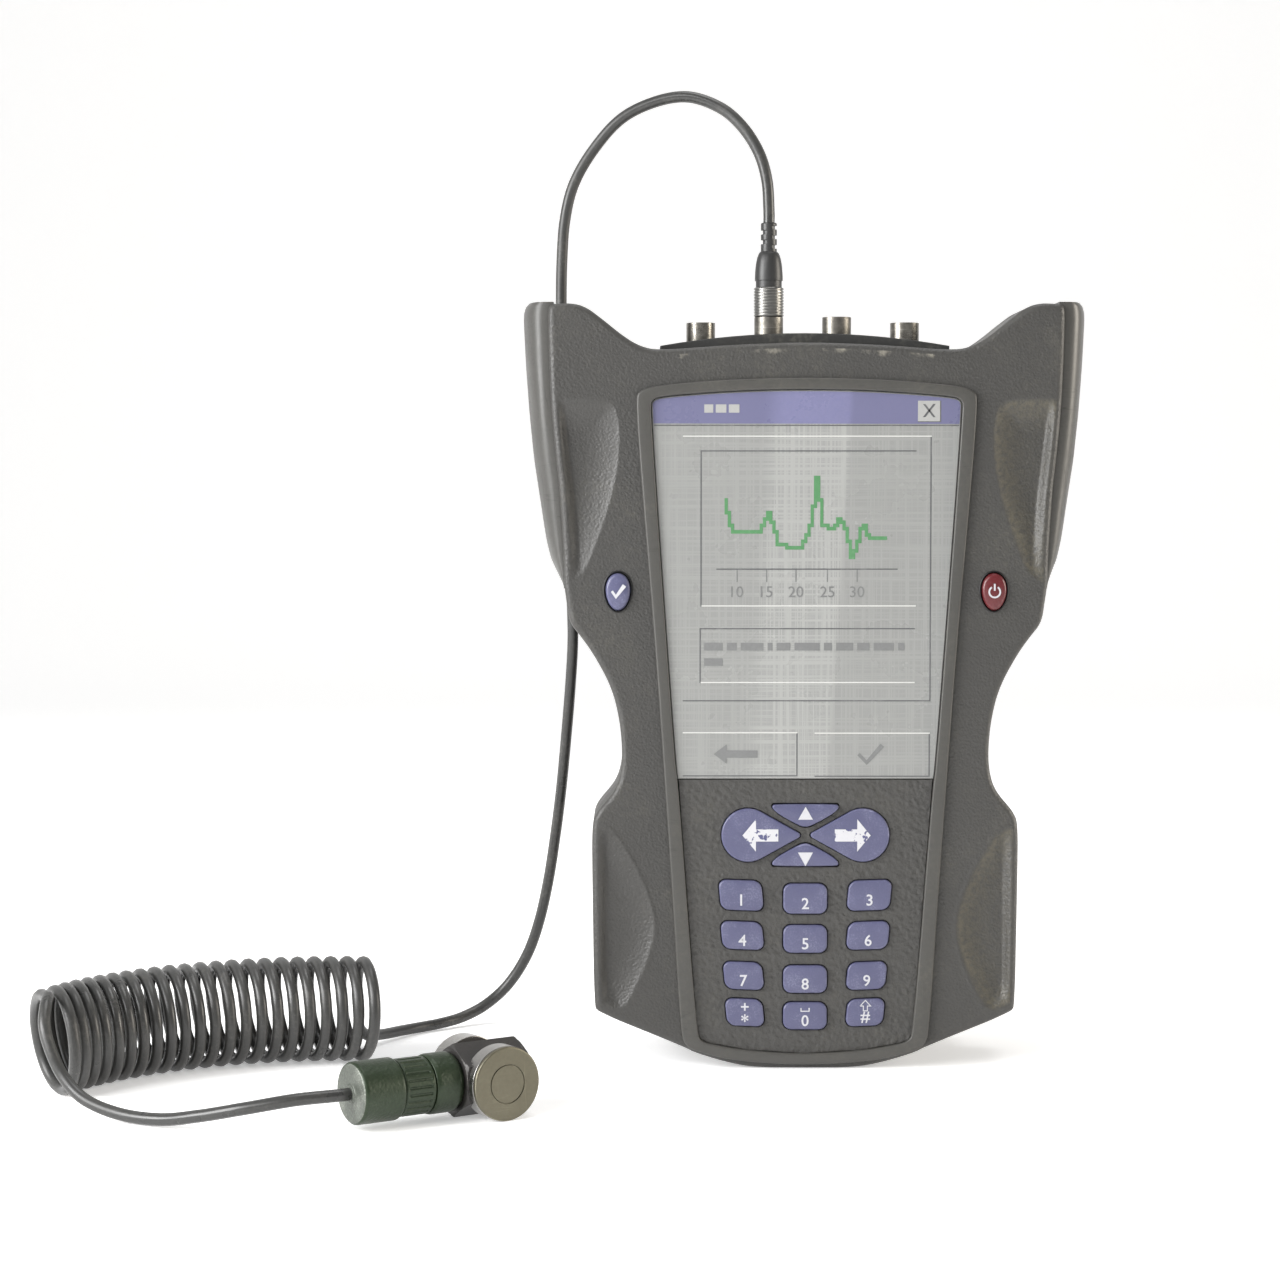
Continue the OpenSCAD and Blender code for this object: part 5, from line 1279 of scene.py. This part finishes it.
class MEASURING_OT_screen(BuildStep):
    """Screen window with a generic measuring picture"""
    bl_idname = "measuring.screen"
    bl_label = "Screen"

    def make(self, sizes, colours):
        opening = evenly(softened(mirrored(OPENING_SHARE), 3), 900)
        opening = offset(opening, 0.1)
        line = np.stack([opening[:, 0], np.maximum(opening[:, 1], SPLIT_Z + 0.2)], 1)
        rows = [(line, LEDGE_Y), (line, WINDOW_Y + 0.25)]
        rows += [(grown(line, -d), WINDOW_Y) for d in (0.25, 0.35, 2.0, 12.0)]
        piece("window_glass", grid(rings(rows)), "screen ground", "handset", ["screen_window"])
        self.picture(opening)

    def picture(self, opening):
        """A generic measuring picture in thin layers: a title bar, a graph with its scale, a
        message box and two soft keys. Bars stand in for words."""
        y = WINDOW_Y - 0.05
        bar = offset(opening, 0.35)
        title = upright(mark(bar[bar[:, 1] > 158.8]), 0, WINDOW_Y - 0.02, 0)
        paints = ["screen bar", "screen dark", "screen grey", "screen white", "screen green",
                  "screen button"]
        dark, grey, white = [], [], []

        def box(x0, z0, x1, z1, top, side, foot, t=0.28):
            """A sunk or raised box from three lines that don't overlap at their ends."""
            top.append((x0, z1 - t, x1, z1))
            side.append((x0, z0, x0 + t, z1 - t) if top is dark else (x1 - t, z0, x1, z1 - t))
            foot.append((x0 + t, z0, x1, z0 + t) if top is dark else (x0, z0, x1 - t, z0 + t))

        box(-30.2, 91.0, 30.6, 156.1, white, dark, dark)
        box(-25.9, 114.3, 26.9, 152.5, dark, dark, white)
        box(-26.1, 95.5, 26.7, 109.0, dark, dark, white)
        box(-30.2, 72.5, -2.0, 83.4, white, dark, dark)
        box(2.2, 72.4, 30.5, 83.3, white, dark, dark)
        reach = at_bearings(opening, (0.0, 158.6), np.array([0.0]))[0, 0] - 0.4
        dark += [(-reach, 158.45, reach, 158.75), (-22.0, 123.3, 22.4, 123.6)]
        ticks = (-16.9, -9.7, -2.5, 5.2, 12.5)
        grey += [(x - 0.13, 120.3, x + 0.13, 123.3) for x in ticks]
        for row, (x0, x1) in ((103.5, (-25.0, 25.5)), (99.7, (-25.0, -17.4))):
            at = x0
            for long in (4.6, 2.4, 5.6, 1.2, 3.4, 6.2, 2.0, 4.2, 3.0, 5.0, 1.6, 4.4):
                if at + long > x1:
                    break
                grey.append((at, row, at + long, row + 1.9))
                at += long + 1.0
        text = [(x, 161.7, x + w, 163.7) for x, w in ((-25.0, 2.2), (-22.2, 2.6), (-19.0, 2.6))]
        corner = [(27.2, 159.6, 32.6, 164.6)]
        shades = [(27.2, 159.4, 32.9, 159.6), (32.6, 159.6, 32.9, 164.6)]
        cross = [mark([(28.4, a), (29.0, a), (31.5, b), (30.9, b)]) for a, b in
                 ((160.6, 163.8), (163.8, 160.6))]
        numbers = [upright(glyph(str(10 + 5 * k), 2.7, 0.0), x, y, 117.9)
                   for k, x in enumerate(ticks)]
        back = upright(mark([(-22.6, 78.0), (-19.4, 75.6), (-19.4, 77.1), (-11.8, 77.1),
                             (-11.8, 78.9), (-19.4, 78.9), (-19.4, 80.4)]), 0, y, 0)
        tick = upright(mark(stroke([(13.0, 78.0), (15.0, 75.9), (18.8, 80.2)], 0.8)), 0, y, 0)
        turns = np.array([(-20.0, 140.5), (-18.2, 133.0), (-11.4, 132.6), (-9.0, 137.4),
                          (-6.6, 129.2), (-0.9, 128.9), (1.4, 134.8), (2.7, 146.4), (4.2, 134.2),
                          (6.6, 133.2), (8.4, 136.2), (10.0, 132.4), (11.4, 125.6), (14.0, 135.2),
                          (15.4, 130.9), (20.4, 131.4)])
        step = 0.78
        x = np.arange(turns[0, 0], turns[-1, 0], step)
        z = np.interp(x, *turns.T)
        low, high = np.minimum(z[:-1], z[1:]), np.maximum(z[:-1], z[1:])
        low, high = (np.round(v / step) * step for v in (low, high))
        trace = np.stack([x[:-1], low - 0.45, x[1:], high + 0.45], 1)
        layer = WINDOW_Y + 0.05
        made = joined(title.painted(0), prisms(dark, y, layer).painted(1),
                      prisms(shades, y, layer).painted(1),
                      *[upright(c, 0, y - 0.05, 0).painted(1) for c in cross],
                      prisms(grey, y, layer).painted(2), *[n.painted(2) for n in numbers],
                      back.painted(2), tick.painted(2), prisms(white, y, layer).painted(3),
                      prisms(text, y - 0.03, layer).painted(5),
                      prisms(corner, y - 0.02, layer).painted(5),
                      prisms(trace, y, layer).painted(4))
        piece("screen_picture", made, paints, "handset")


class MEASURING_OT_sockets(BuildStep):
    """Sockets on the top panel, and the plug"""
    bl_idname = "measuring.sockets"
    bl_label = "Sockets and plug"

    def make(self, sizes, colours):
        put = Matrix.Translation((SOCKET_X[1], SOCKET_Y, 0))
        z0, sleeve_long = SOCKET_TOP[1] + 0.1, 7.3
        self.sockets()
        self.sleeve(put, z0)
        self.boot(put, z0 + 5.2, z0 + sleeve_long)

    def sockets(self):
        """Four round shells with a bore."""
        for n, (x, top) in enumerate(zip(SOCKET_X, SOCKET_TOP), 1):
            shell = rounded([(3.3, -14), (3.6, -13.7), (3.6, 0), (2.7, 0), (2.7, -8), (2.5, -8),
                             (2.5, -13), (1.0, -13)], [0.1, 0.1, 0.5, 0.3, 0.1, 0.1])
            piece(f"socket_{n}_shell", lathe(shell, 72).moved(Matrix.Translation(
                (x, SOCKET_Y, top))), "worn nickel", "handset", [f"socket_{n}"])

    def sleeve(self, put, z0):
        """The latch sleeve, with nine rings of a softened square wave."""
        ribs = np.linspace(z0 + 0.35, z0 + 6.95, 109)
        wave = 3.38 + 0.24 * smoothstep(np.cos((ribs - z0 - 0.35) / 6.6 * TURN * 9), -0.7, 0.5)
        profile = [(2.75, z0, 0.0), (3.4, z0, 0.5), (3.7, z0 + 0.15, 1.0), (3.75, z0 + 0.3, 0.6)]
        profile += [(r + 0.14, z, 0.7 if r > 3.55 else 0.0) for r, z in zip(wave, ribs)]
        profile += [(3.75, z0 + 7.0, 0.6), (3.6, z0 + 7.2, 0.9), (3.45, z0 + 7.3, 0.3),
                    (3.4, z0 + 7.3, 0.0), (3.4, z0 + 3.5, 0.0), (2.65, z0 + 3.5, 0.0)]
        piece("plug_sleeve", lathe(profile, 128).moved(put), "sleeve grey", "latch_sleeve",
              ["latch_sleeve"])

    def boot(self, put, shoulder, sleeve_end):
        """The boot: a dome with radius 2 + 1.5 cos a and height 7.15 sin a, then the relief."""
        boot_long, relief_long = 8.9, 7.2
        boot_end = sleeve_end + boot_long
        relief = boot_end + relief_long
        a = np.radians(np.linspace(0, 88, 14))
        dome = [(2.0 + 1.5 * np.cos(k), sleeve_end + 1.75 + 7.15 * np.sin(k), 0.2) for k in a]
        body = [(0.5, shoulder, 0), (3.25, shoulder, 0), (3.25, sleeve_end + 1.65, 0),
                (3.45, sleeve_end + 1.68, 0.6)] + dome
        neck = np.linspace(boot_end + 0.05, relief - 0.3, 84)
        body += [(2.0, z, 0.1) for z in neck] + [(1.9, relief - 0.1, 0.4), (1.7, relief, 0.2),
                                                 (1.5, relief, 0)]

        def notched(r, a, h):
            """Five notches in the strain relief, in turn on its left and right: r less 0.5."""
            u = (h - boot_end) / relief_long * 6
            k = np.round(u)
            row = (np.abs(u - k) < 0.4) & (k > 0.5) & (k < 5.5)
            side = np.where(k % 2 == 0, -np.cos(a), np.cos(a)) > 0.3
            return r - 0.5 * (row & side)

        piece("plug_boot_skin", lathe(body, 96, notched).moved(put), "boot rubber", "handset",
              ["plug_boot"], sharp=30)


class MEASURING_OT_sensor(BuildStep):
    """Accelerometer and its connector"""
    bl_idname = "measuring.sensor"
    bl_label = "Accelerometer"

    def make(self, sizes, colours):
        local = Matrix.Translation(SENSOR_PLACE) @ Matrix.Rotation(SENSOR_TURN, 4, "Z")
        along_x = local @ Matrix(((0, 0, 1, 0), (1, 0, 0, 0), (0, 1, 0, 0), (0, 0, 0, 1)))
        along_y = local @ Matrix(((0, 1, 0, 0), (0, 0, 1, 0), (1, 0, 0, 0), (0, 0, 0, 1)))
        facet = 8.5 * np.cos(np.pi / 6)
        self.body(along_x, facet)
        self.ends(along_y, facet)
        self.connector(along_x, 8.7)

    def body(self, along_x, facet):
        """The hexagonal body, turned as a lathed one and cut to its flats."""

        def hexed(r, a, h):
            """The least of r and the hexagon's radius, facet / cos of the angle to a flat."""
            return np.minimum(r, facet / np.cos((a + np.pi / 6) % (np.pi / 3) - np.pi / 6))

        rows = rounded([(2.0, -8.7), (7.5, -8.7), (8.5, -8.1), (8.5, 8.1), (7.5, 8.7), (2.0, 8.7)],
                       [0.3, 0.3, 0.3, 0.3])
        mid = np.linspace(-7.6, 7.6, 30)
        rows = np.concatenate([rows[rows[:, 1] < 0], [(8.5, m, 0) for m in mid],
                               rows[rows[:, 1] > 0]])
        hexagon = lathe(rows, 192, hexed)
        piece("sensor_body", hexagon.moved(along_x), "dark body metal", "handset", ["hex_body"])

    def ends(self, along_y, facet):
        """The sensing cylinder's two ends and the disc on the near one."""
        near = rounded([(5.0, facet - 2), (8.5, facet - 2), (8.5, 9.3), (8.2, 9.3), (8.2, 9.7),
                        (4.0, 9.7)], [0.2, 0.15, 0.05, 0.05])
        far = rounded([(4.0, -10.5), (8.5, -10.5), (8.5, 2 - facet), (5.0, 2 - facet)],
                      [0.45, 0.2])
        disc = rounded([(4.0, 9.6), (8.5, 9.6), (8.5, 10.5), (4.55, 10.5), (4.5, 10.25),
                        (4.3, 10.25), (4.25, 10.5), (0.6, 10.5)], [0.12, 0.9, 0.05, 0.05, 0.05,
                                                                  0.05])
        for name, rows, paint, nodes, slot in (
                ("sensor_near_end", near, "satin silver", ["near_cap"], "silver"),
                ("sensor_far_end", far, "satin silver", ["far_cap"], "silver"),
                ("sensor_disc", disc, "end disc", ["end_disc"], "disc")):
            piece(name, lathe(rows, 128).moved(along_y), paint, "handset", nodes)

    def connector(self, along_x, x0):
        """The connector's barrel from x0 on, its backshell and its ribbed coupling ring."""
        barrel = rounded([(2.9, x0 - 1), (2.9, x0), (6.1, x0), (6.9, x0 + 1.2), (6.9, x0 + 6.5),
                          (6.6, x0 + 7.2), (5.2, x0 + 7.2), (5.2, x0 + 11.2), (4.2, x0 + 11.2)],
                         [0.1, 0.3, 0.5, 0.4, 0.2, 0.1, 0.1])
        shell = rounded([(4.2, 19.9), (5.2, 19.9), (5.2, 23.9), (6.6, 23.9), (7.1, 24.4),
                         (7.1, 33.9), (6.4, 34.5), (2.2, 34.5), (2.0, 34.9), (1.0, 34.9)],
                        [0.1, 0.1, 0.2, 0.3, 0.5, 0.35, 0.2, 0.1])
        tail = lathe(shell, 96)
        tail.marks = [(tail.points[f][:, :, 2].mean(1) > 34.3).astype(int) for f in tail.faces]

        def ribbed(r, a, h):
            """Grip ribs: the radius falls where the cosine of the turns is low."""
            ends = (h > 17.2) & (h < 23.1)
            return r - 0.28 * ends * smoothstep(-np.cos(a * 24), 0.3, 0.8) * (r > 6.3)

        ring = rounded([(5.3, 16.05), (6.3, 16.05), (6.55, 16.35), (6.55, 23.5), (6.3, 23.8),
                        (5.3, 23.8)], [0.1, 0.15, 0.15, 0.1])
        span = np.linspace(16.6, 23.2, 23)
        ring = np.concatenate([ring[ring[:, 1] < 16.6], [(6.55, h, 0.15) for h in span],
                               ring[ring[:, 1] > 23.2]])
        piece("connector_barrel_shell", lathe(barrel, 96).moved(along_x), "olive shell",
              "handset", ["connector_barrel"])
        piece("connector_back_shell", tail.moved(along_x), ["olive shell", "olive face"],
              "handset", ["connector_backshell"])
        piece("connector_ring", lathe(ring, 288, ribbed).moved(along_x), "olive shell",
              "coupling_ring", ["coupling_ring"], sharp=30)


# Panel and start
STEPS = (MEASURING_OT_stage, MEASURING_OT_finishes, MEASURING_OT_lead, MEASURING_OT_case,
         MEASURING_OT_bumpers, MEASURING_OT_fascia, MEASURING_OT_keys, MEASURING_OT_screen,
         MEASURING_OT_sockets, MEASURING_OT_sensor)


class MEASURING_PT_panel(bpy.types.Panel):
    """Lists the steps of the build"""
    bl_label = "Measuring set"
    bl_idname = "MEASURING_PT_panel"
    bl_space_type, bl_region_type, bl_category = "VIEW_3D", "UI", "Measuring set"

    def draw(self, context):
        for settings in (context.scene.measuring_sizes, context.scene.measuring_colours):
            for key in settings.__annotations__:
                self.layout.prop(settings, key)
        for step in STEPS:
            self.layout.operator(step.bl_idname)


CLASSES = (MeasuringSizes, MeasuringColours, *STEPS, MEASURING_PT_panel)


def register():
    for item in CLASSES:
        bpy.utils.register_class(item)
    bpy.types.Scene.measuring_sizes = bpy.props.PointerProperty(type=MeasuringSizes)
    bpy.types.Scene.measuring_colours = bpy.props.PointerProperty(type=MeasuringColours)


def unregister():
    del bpy.types.Scene.measuring_sizes, bpy.types.Scene.measuring_colours
    for item in reversed(CLASSES):
        bpy.utils.unregister_class(item)


def main():
    register()
    for step in STEPS:
        getattr(bpy.ops.measuring, step.bl_idname.split(".")[1])()


if __name__ == "__main__":
    main()
